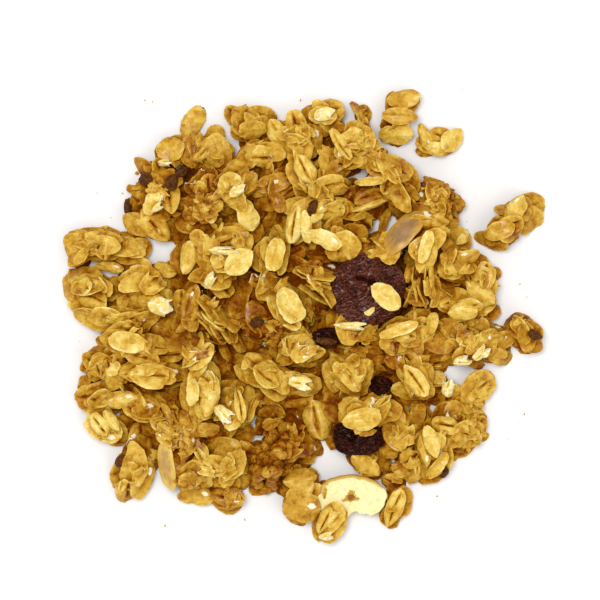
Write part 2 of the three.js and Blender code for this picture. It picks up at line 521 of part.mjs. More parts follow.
// The lowest layer, on a staggered grid inside the beds.
function layBeds() {
  const dice = new Dice(900);
  const rowPitch = BED_PITCH * 0.87;
  for (let row = 0; row * rowPitch < 120; row++) {
    const y0 = row * rowPitch - 60;
    const stagger = row % 2 ? BED_PITCH / 2 : 0;
    for (let column = 0; column * BED_PITCH < 128; column++) {
      const x = column * BED_PITCH - 64 + stagger + 1.6 * dice.spread();
      const y = y0 + 1.6 * dice.spread();
      const length = dice.between(...FLAKE_LENGTH);
      const width = length * dice.between(...FLAKE_WIDTH);
      const facing = dice.between(0, Math.PI);
      const tiltX = 0.35 * dice.spread();
      const tiltY = 0.35 * dice.spread();
      const tone = 0.22 + 0.12 * dice.spread();
      const inBed = BEDS.some((bed) => inside(x, y, bed, 0));
      if (!inBed || GAPS.some((gap) => inside(x, y, gap, BED_GAP_MARGIN))) {
        continue;
      }
      settle({
        kind: "flake",
        group: "heap",
        x,
        y,
        size: [length, width, FLAKE_THICKNESS],
        axes: axesOf(tiltX, tiltY, facing),
        share: 0.6,
        sink: 0.3,
        ceiling: ceilingAt(x, y) * 0.35,
        tone,
      });
    }
  }
}

// A piece set on the pile by itself, tilted by a share of the slope under it.
function lay(kind, group, spot, share, sink, level) {
  const { x, y, z, length, width, thickness, heading, tone } = spot;
  const [gx, gy] = slopeAt(x, y, 3.5);
  return settle({
    kind,
    group,
    x,
    y,
    z,
    size: [length, width, thickness],
    axes: axesOf(-level * gx, -level * gy, heading * DEGREE),
    share,
    sink,
    ceiling: 99,
    tone,
  });
}

const layTopping = (name, spot, share, level) => lay(name, name, spot, share, 0.2, level);

function layFlake(group, x, y, length, width, heading, tone) {
  const spot = { x, y, length, width, thickness: LARGE_FLAKE_THICKNESS, heading, tone };
  return lay("flake", group, spot, 0.75, 0.2, 0.5);
}

function layBalls(row, seed) {
  const [x0, y0, halfLength, halfWidth, heading, count] = row;
  const dice = new Dice(seed);
  const turn = heading * DEGREE;
  for (let k = 0; k < count; k++) {
    const r = Math.sqrt(1 - (0.97 * (k + 0.5)) / count);
    const angle = dice.roll() + k * GOLDEN_ANGLE;
    const a = (halfLength - 1) * r * Math.cos(angle);
    const b = (halfWidth - 1) * r * Math.sin(angle);
    const across = dice.between(...BALL_SIZE);
    const tone = 0.3 + 0.15 * dice.spread();
    settle({
      kind: "ball",
      group: "heap",
      x: x0 + a * Math.cos(turn) - b * Math.sin(turn),
      y: y0 + a * Math.sin(turn) + b * Math.cos(turn),
      size: [across, across * 0.92, across * 0.9],
      axes: axesOf(0.3 * dice.spread(), 0.3 * dice.spread(), dice.between(0, Math.PI)),
      share: 0.5,
      sink: 0.5,
      ceiling: 99,
      tone,
    });
  }
}

// Marks the surroundings of what has been laid so far, so that the heap stays clear of it.
function blockAround(reach) {
  const cells = Math.ceil(reach / MAP_CELL);
  for (let j = cells; j < CELLS - cells; j++) {
    for (let i = cells; i < CELLS - cells; i++) {
      if (owner[j * CELLS + i] < 0) {
        continue;
      }
      for (let q = -cells; q <= cells; q++) {
        const start = (j + q) * CELLS + i;
        blocked.fill(1, start - cells, start + cells + 1);
      }
    }
  }
}

// ---- the order in which everything is laid ----
LOOSE.forEach((row, i) => {
  layCluster(row, 300 + i, row[0], true);
  layCluster(row, 300 + i, row[0], false);
});
LOOSE_FLAKES.forEach((row) => layFlake(...row));
blockAround(0.8);
layBeds();
const clusters = [...LOWER, ...RIM, ...UPPER];
clusters.forEach((row, i) => layCluster(row, 1 + i, "heap", true));
LOWER.forEach((row, i) => layCluster(row, 1 + i, "heap", false));
const raisinSouth = layTopping("raisin_south", RAISIN_SOUTH, 0.7, 0);
const raisinMiddle = layTopping("raisin_middle", RAISIN_MIDDLE, 0.7, 0);
const raisinEast = layTopping("raisin_east", RAISIN_EAST, 0.7, 0);
const fruit = layTopping("dried_fruit", FRUIT, 0.9, 0.15);
const banana = layTopping("banana_chip", BANANA, 0, 0);
clearOf.push([FRUIT.x, FRUIT.y, FRUIT.length / 2 - 1.0, FRUIT.width / 2 - 1.0]);
clearOf.push([RAISIN_MIDDLE.x, RAISIN_MIDDLE.y, RAISIN_MIDDLE.length / 2, RAISIN_MIDDLE.width / 2]);
clearOf.push([BANANA.x + 0.6, BANANA.y + 0.8, BANANA.length / 2 - 0.6, BANANA.width / 2 - 0.4]);
RIM.forEach((row, i) => layCluster(row, 1 + LOWER.length + i, "heap", false));
UPPER.forEach((row, i) => layCluster(row, 1 + LOWER.length + RIM.length + i, "heap", false));
BALL_LUMPS.forEach((row, i) => layBalls(row, 700 + i));
SEEDS.forEach(([x, y, length, width, heading]) => {
  lay("seed", "heap", { x, y, length, width, thickness: SEED_THICKNESS, heading, tone: 0 }, 0.75, 0.3, 0.6);
});
LARGE_FLAKES.forEach((row) => layFlake("heap", ...row));
CRUMPLES.forEach(([x, y, length, width, heading]) => {
  const spot = { x, y, length, width, thickness: CRUMPLE_THICKNESS, heading, tone: 1 };
  lay("crumple", "heap", spot, 0.7, 0.4, 0.6);
});
const coconutEast = layTopping("coconut_chip_east", COCONUT_EAST, 0.8, 0.8);
const coconutSouthWest = layTopping("coconut_chip_south_west", COCONUT_SOUTH_WEST, 0.8, 0.8);

// ---- solids ----
const wasm = await Module();
wasm.setup();

function solidOf(geometry) {
  geometry.deleteAttribute("normal");
  geometry.deleteAttribute("uv");
  const merged = mergeVertices(geometry, 1e-4);
  return new wasm.Manifold(
    new wasm.Mesh({
      numProp: 3,
      vertProperties: new Float32Array(merged.attributes.position.array),
      triVerts: new Uint32Array(merged.index.array),
    }),
  );
}

function geometryOf(solid) {
  const mesh = solid.getMesh();
  const geometry = new THREE.BufferGeometry();
  geometry.setAttribute("position", new THREE.BufferAttribute(new Float32Array(mesh.vertProperties), 3));
  geometry.setIndex(new THREE.BufferAttribute(new Uint32Array(mesh.triVerts), 1));
  geometry.computeVertexNormals();
  return geometry;
}

// The largest closed body of a solid: hollows inside it are filled and loose scraps are dropped.
function mainBody(solid) {
  const bodies = solid.decompose();
  return bodies.reduce((best, body) => (body.volume() > best.volume() ? body : best));
}

// Moves a geometry made round the origin to where its piece lies.
function putInPlace(geometry, piece) {
  const { along, across, normal } = piece.axes;
  const matrix = new THREE.Matrix4().makeBasis(along, across, normal);
  matrix.setPosition(piece.x, piece.y, piece.z);
  return geometry.applyMatrix4(matrix);
}

// Calls change(point) for each vertex of a geometry.
function reshape(geometry, change) {
  const position = geometry.attributes.position;
  const point = new THREE.Vector3();
  for (let i = 0; i < position.count; i++) {
    point.fromBufferAttribute(position, i);
    change(point);
    position.setXYZ(i, point.x, point.y, point.z);
  }
  return geometry;
}

// A ball whose poles lie on z.
const uprightBall = (sides, rings) => new THREE.SphereGeometry(1, sides, rings).rotateX(Math.PI / 2);

// A rolled oat: a thin oval with an uneven edge, a little thicker in the middle, bent along its length.
// Its underside may run down to a foot.
function oatGeometry(size, seed, roughness, foot) {
  const dice = new Dice(seed);
  const edge = Array.from({ length: RIM_SIDES }, () => 1 + roughness * dice.spread());
  const bend = 0.05 * size[0] * dice.spread();
  const ringRadius = Math.sin(Math.PI / 3);
  return reshape(uprightBall(RIM_SIDES, 3), (p) => {
    const onRim = Math.hypot(p.x, p.y) > 0.1;
    if (!onRim && p.z < 0 && foot) {
      p.copy(foot);
      return;
    }
    const side = Math.round((Math.atan2(p.y, p.x) / (2 * Math.PI) + 1) * RIM_SIDES) % RIM_SIDES;
    const grow = onRim ? edge[side] / ringRadius : 1;
    p.x *= (size[0] / 2) * grow;
    p.y *= (size[1] / 2) * grow;
    p.z = (p.z * size[2]) / 2 + bend * (onRim ? 0.6 : -0.4);
  });
}

// The core is a block whose top follows the pile a little below the oats. Its top at a point is the
// mean of the cells round it, where bare surface counts as far below, so that the core ends there.
const CORE_WINDOW = 6; // cells to each side
const BARE_LEVEL = -12;
const CORE_LOWEST = -2;
const CORE_REACH = Math.ceil((MAP_HALF - 6) / CORE_CELL) * CORE_CELL;
const SHRIVELLED = new Set(["dried_fruit", "raisin_south", "raisin_middle", "raisin_east"]);

// How high the core may come in one cell of the map.
function levelIn(cell) {
  if (owner[cell] < 0) {
    return BARE_LEVEL;
  }
  const piece = placed[owner[cell]];
  if (piece.group === "heap") {
    return height[cell];
  }
  return SHRIVELLED.has(piece.kind) ? piece.z - piece.size[2] / 2 : piece.z;
}

function coreTop(x, y) {
  let sum = 0;
  let count = 0;
  for (let q = -CORE_WINDOW; q <= CORE_WINDOW; q++) {
    for (let p = -CORE_WINDOW; p <= CORE_WINDOW; p++) {
      const cell = cellOf(y + q * MAP_CELL) * CELLS + cellOf(x + p * MAP_CELL);
      if (blocked[cell]) {
        return CORE_LOWEST;
      }
      sum += levelIn(cell);
      count++;
    }
  }
  return Math.max(CORE_LOWEST, sum / count - CORE_DEPTH);
}

function coreGeometry() {
  const cells = (2 * CORE_REACH) / CORE_CELL;
  const block = new THREE.BoxGeometry(2 * CORE_REACH, 2 * CORE_REACH, 8, cells, cells, 1);
  return reshape(block, (p) => {
    p.z = p.z > 0 ? coreTop(p.x, p.y) : -4;
  });
}

// Where the underside of an oat runs down to, in its own axes: the best point of the core near it,
// or nothing where the oat already touches.
const FOOT_RINGS = [0, 2.5, 5, 7.5];
const FOOT_SPOKES = 8;
const FOOT_REACH_COST = 0.8; // height that is given up for each millimetre sideways
function footOf(piece) {
  let best = null;
  for (const reach of FOOT_RINGS) {
    for (let k = 0; k < (reach ? FOOT_SPOKES : 1); k++) {
      const turn = (k * 2 * Math.PI) / FOOT_SPOKES;
      const x = piece.x + reach * Math.cos(turn);
      const y = piece.y + reach * Math.sin(turn);
      const z = coreTop(x, y) - FOOT_DEPTH;
      const score = Math.min(z, piece.z) - FOOT_REACH_COST * reach;
      if (z > -1 && (!best || score > best.score)) {
        best = { x, y, z, score };
      }
    }
  }
  if (!best) {
    return null;
  }
  const way = new THREE.Vector3(best.x - piece.x, best.y - piece.y, best.z - piece.z);
  const { along, across, normal } = piece.axes;
  const foot = new THREE.Vector3(way.dot(along), way.dot(across), way.dot(normal));
  return foot.z < -piece.size[2] / 2 ? foot : null;
}

function pieceSolid(piece, index, grow = 0) {
  const size = piece.size.map((s) => s + 2 * grow);
  if (piece.kind === "ball" || piece.kind === "seed") {
    const [a, b, c] = size.map((s) => (s / 2) * 1.08);
    return solidOf(putInPlace(new THREE.IcosahedronGeometry(1, 0).scale(a, b, c), piece));
  }
  const roughness = piece.kind === "crumple" ? CRUMPLE_ROUGHNESS : OAT_ROUGHNESS;
  const foot = piece.group === "heap" ? footOf(piece) : null;
  return solidOf(putInPlace(oatGeometry(size, index + 1, roughness, foot), piece));
}

// A shrivelled body: an oval with puckers that run over its top and down its sides.
function puckeredGeometry(spot) {
  const { puckers } = spot;
  return reshape(uprightBall(spot.sides, spot.rings), (p) => {
    const angle = Math.atan2(p.y, p.x);
    const radius = Math.hypot(p.x, p.y);
    const lobes = Math.sin(puckers * angle + 1.3) + 0.6 * Math.sin((puckers + 3) * angle + 4.0 * radius);
    const outline = 1 + 0.022 * lobes * radius;
    const fade = Math.min(1, 2 * radius) * Math.min(1, 3 * (1 - radius));
    const fold = spot.fold * fade * Math.sin(puckers * angle + 5.0 * radius);
    p.x *= (spot.length / 2) * outline;
    p.y *= (spot.width / 2) * outline;
    p.z = (Math.sign(p.z) * Math.abs(p.z) ** 0.8 * spot.thickness) / 2 + fold;
  });
}

// The banana chip: an oval slice broken along one side.
function bananaGeometry(grow) {
  const a = BANANA.length / 2 + grow;
  const b = BANANA.width / 2 + grow;
  const outline = new THREE.Shape();
  for (let k = 0; k < BANANA_SIDES; k++) {
    const angle = (k / BANANA_SIDES) * 2 * Math.PI;
    const x = a * Math.cos(angle) * (1 + 0.015 * Math.sin(5 * angle));
    const bite = BANANA_NOTCH.depth * Math.exp(-(((x - BANANA_NOTCH.x) / BANANA_NOTCH.width) ** 2));
    const y = Math.max(b * Math.sin(angle), BANANA_BROKEN_EDGE - grow + bite);
    if (k === 0) {
      outline.moveTo(x, y);
    } else {
      outline.lineTo(x, y);
    }
  }
  const edge = { thickness: 0.5, size: 0.35 };
  const depth = BANANA.thickness - 2 * edge.thickness + 2 * grow;
  const geometry = new THREE.ExtrudeGeometry(outline, {
    depth,
    steps: 1,
    bevelEnabled: true,
    bevelThickness: edge.thickness,
    bevelSize: edge.size,
    bevelOffset: -edge.size,
    bevelSegments: 2,
  });
  return geometry.translate(0, 0, -depth / 2).rotateX(BANANA_TILT[0]).rotateY(BANANA_TILT[1]);
}

// A coconut chip: a thin bowed strip with rounded ends.
function coconutGeometry(spot) {
  return reshape(uprightBall(12, 4), (p) => {
    const along = Math.sign(p.x) * Math.abs(p.x) ** 0.75;
    const across = Math.sign(p.y) * Math.abs(p.y) ** 0.9;
    p.x = (along * spot.length) / 2;
    p.y = (across * spot.width) / 2;
    p.z = (p.z * spot.thickness) / 2 + COCONUT_BOW * (0.5 - along * along);
  });
}

// The pieces of a group that show, those with the largest face in view first.
const shownCells = new Array(placed.length).fill(0);
owner.forEach((index) => {
  if (index >= 0) {
    shownCells[index]++;
  }
});
const ranked = placed
  .map((piece, index) => ({ piece, index, shown: shownCells[index] }))
  .sort((p, q) => q.shown - p.shown);

function choose(group, count, spacing) {
  const chosen = [];
  for (const entry of ranked.filter(({ piece }) => piece.group === group)) {
    const { x, y, z } = entry.piece;
    const near = chosen.some(({ piece: o }) => Math.hypot(o.x - x, o.y - y, o.z - z) < spacing);
    if (!near && chosen.length < count) {
      chosen.push(entry);
    }
  }
  return chosen;
}

// A cluster that lies beside the heap: a small lump with its oats.
function looseCluster(row, grow) {
  const [name, x, y, halfLength, halfWidth, heading] = row;
  const lumpSize = [halfLength * LOOSE_LUMP_SHARE, halfWidth * LOOSE_LUMP_SHARE, LOOSE_LUMP_HEIGHT];
  const lump = uprightBall(10, 6).scale(...lumpSize.map((half) => half + grow));
  lump.rotateZ(heading * DEGREE).translate(x, y, 0);
  const own = choose(name, LOOSE_SHOWN, LOOSE_SPACING);
  const solids = own.map(({ piece, index }) => pieceSolid(piece, index, grow));
  const joined = wasm.Manifold.union([solidOf(lump), ...solids]).trimByPlane([0, 0, 1], 0);
  return mainBody(joined.simplify(0.05));
}

// A spot grown on all sides.
const grown = (spot, by) => ({
  ...spot,
  length: spot.length + 2 * by,
  width: spot.width + 2 * by,
  thickness: spot.thickness + 2 * by,
});

// The larger pieces. Each is made as it is, or grown by a gap so that the heap can be cut to clear it.
const puckered = (spot, place) => (by) => putInPlace(puckeredGeometry(grown(spot, by)), place);
const coconut = (spot, place) => (by) => putInPlace(coconutGeometry(grown(spot, by)), place);
const parts = {
  dried_fruit: puckered(FRUIT, fruit),
  banana_chip: (by) => putInPlace(bananaGeometry(by), banana),
  raisin_south: puckered(RAISIN_SOUTH, raisinSouth),
  raisin_middle: puckered(RAISIN_MIDDLE, raisinMiddle),
  raisin_east: puckered(RAISIN_EAST, raisinEast),
  coconut_chip_east: coconut(COCONUT_EAST, coconutEast),
  coconut_chip_south_west: coconut(COCONUT_SOUTH_WEST, coconutSouthWest),
};

const heapPieces = choose("heap", SHOWN, SHOWN_SPACING);
const heapSolids = heapPieces.map(({ piece, index }) => pieceSolid(piece, index));
let heap = wasm.Manifold.union([solidOf(coreGeometry()), ...heapSolids]).trimByPlane([0, 0, 1], 0);
for (const make of Object.values(parts)) {
  heap = heap.subtract(solidOf(make(FIT_GAP)));
}
for (const row of LOOSE) {
  heap = heap.subtract(looseCluster(row, FIT_GAP));
}
heap = mainBody(heap.simplify(0.05));

const oatOnFruit = {
  ...OAT_ON_FRUIT,
  z: fruit.z + FRUIT.thickness / 2 + OAT_ON_FRUIT.lift,
  axes: axesOf(...OAT_ON_FRUIT.tilt, OAT_ON_FRUIT.heading * DEGREE),
};
const oatSize = [OAT_ON_FRUIT.length, OAT_ON_FRUIT.width, OAT_ON_FRUIT.thickness];
const wholeOat = solidOf(putInPlace(oatGeometry(oatSize, 5, 0.05, null), oatOnFruit));
const oat = mainBody(wholeOat.subtract(solidOf(parts.dried_fruit(FIT_GAP))));

// ---- colours ----
const DARK_OAT = new THREE.Color(0x9a5c16);
const PALE_OAT = new THREE.Color(0xf0cc70);
const FRUIT_SKIN = new THREE.Color(0x46201e);
const RAISIN_SKIN = new THREE.Color(0x2e1012);
const BANANA_FLESH = new THREE.Color(0xfff4c0);
const COCONUT_FLESH = new THREE.Color(0xd9bc86);

// The colour of a group of oats, from the mean of their tones.
function oatColor(group) {
  const own = placed.filter((piece) => piece.group === group && piece.kind === "flake");
  const mean = own.reduce((sum, piece) => sum + piece.tone, 0) / own.length;
  return DARK_OAT.clone().lerp(PALE_OAT, mean);
}

const root = new THREE.Group();
function addMesh(name, geometry, color, roughness) {
  const material = new THREE.MeshStandardMaterial({ color, roughness, metalness: 0, flatShading: true });
  const mesh = new THREE.Mesh(geometry, material);
  mesh.name = name;
  root.add(mesh);
}

const looks = {
  dried_fruit: [FRUIT_SKIN, 0.55],
  banana_chip: [BANANA_FLESH, 0.7],
  raisin_south: [RAISIN_SKIN, 0.5],
  raisin_middle: [RAISIN_SKIN, 0.5],
  raisin_east: [RAISIN_SKIN, 0.5],
  coconut_chip_east: [COCONUT_FLESH, 0.45],
  coconut_chip_south_west: [COCONUT_FLESH, 0.45],
};
addMesh("granola_heap", geometryOf(heap), oatColor("heap"), 0.5);
for (const [name, make] of Object.entries(parts)) {
  addMesh(name, geometryOf(solidOf(make(0))), ...looks[name]);
}
addMesh("oat_on_fruit", geometryOf(oat), DARK_OAT.clone().lerp(PALE_OAT, 0.9), 0.45);
for (const row of LOOSE) {
  addMesh(row[0], geometryOf(looseCluster(row, 0)), oatColor(row[0]), 0.5);
}

export default root;
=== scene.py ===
"""A loose heap of toasted oat granola on a pale surface, seen from straight above.

The rolled oats settle one by one on a height map, by the rule and from the tables that also lay the
solid model, so each visible oat lies where the solid has it. Sizes and places are in millimetres.
"""

import functools
import math
from dataclasses import dataclass
from types import SimpleNamespace

import bmesh
import bpy
import numpy as np
from bpy.props import FloatProperty, FloatVectorProperty, IntProperty, PointerProperty
from mathutils import Matrix, Vector, noise


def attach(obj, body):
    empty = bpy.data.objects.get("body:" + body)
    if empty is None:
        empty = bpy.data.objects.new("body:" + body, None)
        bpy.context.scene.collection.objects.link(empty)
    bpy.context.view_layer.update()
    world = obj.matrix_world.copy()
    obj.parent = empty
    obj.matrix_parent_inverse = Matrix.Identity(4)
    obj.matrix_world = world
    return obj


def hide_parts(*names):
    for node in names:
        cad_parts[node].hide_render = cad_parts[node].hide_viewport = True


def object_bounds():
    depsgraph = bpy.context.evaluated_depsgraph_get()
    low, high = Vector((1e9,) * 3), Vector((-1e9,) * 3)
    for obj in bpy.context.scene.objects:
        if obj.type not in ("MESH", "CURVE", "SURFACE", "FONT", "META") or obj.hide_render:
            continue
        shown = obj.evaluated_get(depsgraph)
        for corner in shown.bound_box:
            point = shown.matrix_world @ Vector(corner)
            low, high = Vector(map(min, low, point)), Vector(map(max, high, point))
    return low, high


bl_info = {
    "name": "Granola heap",
    "version": (1, 0, 0),
    "blender": (4, 5, 0),
    "location": "View3D > Sidebar > Granola",
    "description": "A loose heap of oat granola with dried fruit, raisins and a banana chip",
    "category": "Add Mesh",
}

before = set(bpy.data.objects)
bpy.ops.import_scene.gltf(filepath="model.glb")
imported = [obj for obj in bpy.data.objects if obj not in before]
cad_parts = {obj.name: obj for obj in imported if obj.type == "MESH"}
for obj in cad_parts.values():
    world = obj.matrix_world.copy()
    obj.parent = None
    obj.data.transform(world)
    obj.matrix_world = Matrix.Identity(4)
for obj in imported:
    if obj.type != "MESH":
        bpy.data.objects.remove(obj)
CAD_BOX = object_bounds()
MM = 0.001
DEGREE = math.pi / 180

# ---- sizes of the oats and of the heap ----
FLAKE_LENGTH = (7.6, 10.4)  # a rolled oat from end to end, least and most
FLAKE_WIDTH = (0.62, 0.8)  # its width as a share of its length
FLAKE_THICKNESS = 1.1
LARGE_FLAKE_THICKNESS = 1.3
BROKEN_SHARE = 0.24  # share of the oats that are broken short
BROKEN_LENGTH = 0.62
BROKEN_WIDTH = 0.8
BALL_SIZE = (2.5, 3.6)  # a ball of puffed cereal across, least and most
SEED_THICKNESS = 1.7
CRUMPLE_THICKNESS = 1.5  # a crumpled bit of bran or starch
BALL_SHAPE = (1, 0.92, 0.9)  # the shares of that size along its axes
HEAP_REACH = (60, 57)  # half the spread of the heap along x and y
RIM_HEIGHT = 5.5  # how high the oats pile at the rim and over the middle
MIDDLE_HEIGHT = 15
ROUNDNESS = 2.2  # how bluntly the heap falls from its middle to its rim
MAP_CELL = 0.4  # height map on which the oats settle
MAP_HALF = 72
CELLS = round(2 * MAP_HALF / MAP_CELL)
SKIN_SPLIT = 2  # the map of the visible skin splits each cell in this many
CREASE_REACH = 1.6  # how near a large oat lies to its entry among the creased ones
# Painted shade darkens this fold through the crease mark.
FRUIT_CREASE = ((13.6, 9.4), (19.2, 7.5))  # the dark fold across the dried fruit, from end to end
OAT_LAYERS = ("bed", "below", "lower", "rim", "upper", "large")
TINY = 1e-6

# ---- how the oats of a cluster lie ----
OAT_INSET = (1.7, 1.6)  # how far their middles stay inside the cluster, along and across it
HIDDEN_INSET = (2.4, 2.2)  # the same for the hidden oats under them
LEAST_REACH = (1.0, 0.8)  # how far the middles spread at least, along and across the cluster
INWARD_SPAN = 0.97  # oats are laid from the cluster's outline to nearly its middle
TURN_JITTER = 1.2  # how unevenly they follow round, in radians
HIDDEN_AREA = 26  # square millimetres of the cluster for each hidden oat
HIDDEN_SPREAD = 0.8  # share of the reach over which the hidden oats spread
HIDDEN_WOBBLE = 0.2
HIDDEN_SINK = 0.5
HIDDEN_CEILING = 0.5  # share of the pile's height that they may reach
# Painted shade: the hidden oats under each cluster take a tone darker than the cluster's, down to this one.
HIDDEN_TONE = 0.3  # the darkest hidden oat
HEAP_SEED = 1  # of the heap's first cluster; each further one takes the next number
LOOSE_SEED = 300  # of the first cluster beside the heap
BELOW_SEED = 500  # added for the hidden oats of a cluster
WOBBLE_SPREAD = 1.5
LEAN_SPREAD = 0.15
LEAN_TURN_SPREAD = 22  # degrees
TONE_SPREAD = 0.12
FLAKE_SHARE = 0.62  # share of the cells under an oat that lie clear below it
FLAKE_SINK = 0.25
CLUSTER_FALL = 0.38  # how steeply the oats fall away towards the cluster's sides
LEAST_FALL_REACH = 4
SLOPE_FOLLOWED = 0.5  # share of the pile's own slope that an oat follows
SLOPE_REACH = 3.0  # how far round its middle an oat feels that slope
STEEPEST = 0.6  # the steepest slope that is followed
GAP_MARGIN = 2.2  # how far the middles of the oats stay off a bare gap
NO_CEILING = 99
OVER_CEILING = 0.25  # share of its height over the ceiling that a piece keeps
LOOSE_CLEARANCE = 0.8  # room between the heap and the clusters beside it

# ---- the lowest layer ----
BED_SEED = 900
BED_PITCH = 5.0  # spacing of its oats
BED_ROW_SHARE = 0.87  # spacing of its rows as a share of that
BED_SPAN = (128, 120)
BED_JITTER = 1.6
BED_TILT = 0.35
# Painted shade: the oats of the lowest layer take this dark tone.
BED_TONE = 0.38
BED_SHARE = 0.6
BED_SINK = 0.3
BED_CEILING = 0.35
BED_GAP_MARGIN = 3.0

# ---- the lump of crisp balls ----
BALL_SEED = 700
BALL_INSET = 1
BALL_TILT = 0.3
BALL_TONE = 0.3
BALL_TONE_SPREAD = 0.15
BALL_SHARE = 0.5
BALL_SINK = 0.5

# ---- pieces set on the pile one by one ----
SPOT_REACH = 3.5  # how far round its middle such a piece feels the slope
# The share of the cells under it that lie clear, how far it sinks in, and the share of the slope
# that it follows.
RESTS = {
    "large": (0.75, 0.2, 0.5),
    "seed": (0.75, 0.3, 0.6),
    "crumple": (0.7, 0.4, 0.6),
    "raisin": (0.7, 0.2, 0),
    "dried_fruit": (0.9, 0.2, 0.15),
    "banana_chip": (0, 0.2, 0),
    "coconut_chip": (0.8, 0.2, 0.8),
}

# ---- stage ----
VIEW_CENTRE = (-0.75, 3.75)  # millimetres that the middle of the picture shows
VIEW_LEVEL = 6.0  # height at which the view has its stated width
FLOOR_SIZE = 2.4  # metres, as are the lights' places and widths
KEY_LIGHT = dict(place=(-0.16, 0.16, 1.15), width=0.5, power=6.8)
FILL_LIGHT = dict(place=(0.5, -0.5, 1.0), width=0.9, power=2)
WORLD_LIGHT = 0.67

# ---- where things lie ----
# Clusters of the lower layer: name, x, y, half length, half width, heading, oats, lay, lean and
# tone, which runs from 0 (dark brown) to 1 (pale gold). Headings and leans are in degrees.
LOWER = [
    ("hollow west of middle", -17.0, 6.3, 9.0, 8.0, -50, 9, "jumble", 0, 0.20),
    ("hollow in the middle", -9.5, -2.0, 8.0, 6.0, 0, 8, "jumble", 0, 0.12),
    ("hollow beside the fruit", 2.0, 12.0, 9.0, 6.5, 0, 8, "jumble", 0, 0.15),
    ("dip west", -25.8, -5.0, 6.0, 6.0, 80, 6, "jumble", 0, 0.20),
    ("dip south", -9.5, -20.0, 9.0, 5.5, -10, 8, "flat", 0, 0.35),
    ("dip by the balls", -6.0, -27.5, 5.5, 3.5, 0, 5, "jumble", 0, 0.20),
    ("dip under the balls", -2.5, -32.0, 6.0, 4.5, 0, 6, "jumble", 0, 0.25),
    ("dip south west", -28.5, -28.5, 9.0, 4.5, -15, 8, "flat", 0, 0.35),
    ("knob south west", -28.3, -34.0, 4.0, 3.5, 0, 4, "jumble", 0, 0.18),
    ("dip south of the fruit", 10.5, -6.3, 11.0, 5.0, 0, 9, "jumble", 0, 0.20),
    ("dip south east", 22.0, -10.0, 9.0, 6.0, 30, 8, "jumble", 0, 0.25),
    ("dip east", 34.3, 6.3, 9.0, 8.0, 90, 11, "jumble", 0, 0.35),
    ("slope south east", 24.5, -31.0, 8.0, 7.0, 70, 9, "flat", 0, 0.40),
    ("hollow north east", 18.0, 31.0, 9.0, 7.0, 20, 10, "jumble", 0, 0.22),
    ("dip north west", -19.5, 32.5, 9.0, 7.0, 0, 10, "jumble", 0, 0.40),
    ("slope north", -7.0, 31.5, 8.0, 6.0, 70, 9, "flat", 0, 0.30),
    ("slope under the ring", 9.3, 22.5, 8.0, 7.0, -30, 8, "flat", 0, 0.40),
    ("slope west", -38.3, -10.0, 9.0, 6.0, 0, 10, "shingle", 90, 0.45),
    ("slope south west", -38.3, -24.0, 8.0, 5.0, -30, 8, "jumble", 0, 0.46),
    ("slope east", 33.0, -8.0, 9.0, 7.0, 30, 9, "flat", 0, 0.40),
    ("foot by the big gap", 15.5, -37.5, 5.0, 3.5, -40, 4, "flat", 0, 0.45),
    ("foot south", 23.0, -39.3, 5.0, 5.5, -60, 6, "flat", 0, 0.40),
    ("under the fruit", 15.0, 6.0, 9.0, 8.0, 0, 8, "flat", 0, 0.20),
    ("under the long raisin", 14.0, -25.0, 8.0, 6.0, 0, 6, "flat", 0, 0.25),
    ("slope by the banana", 8.0, -45.5, 8.0, 2.5, 10, 4, "flat", 0, 0.35),
]
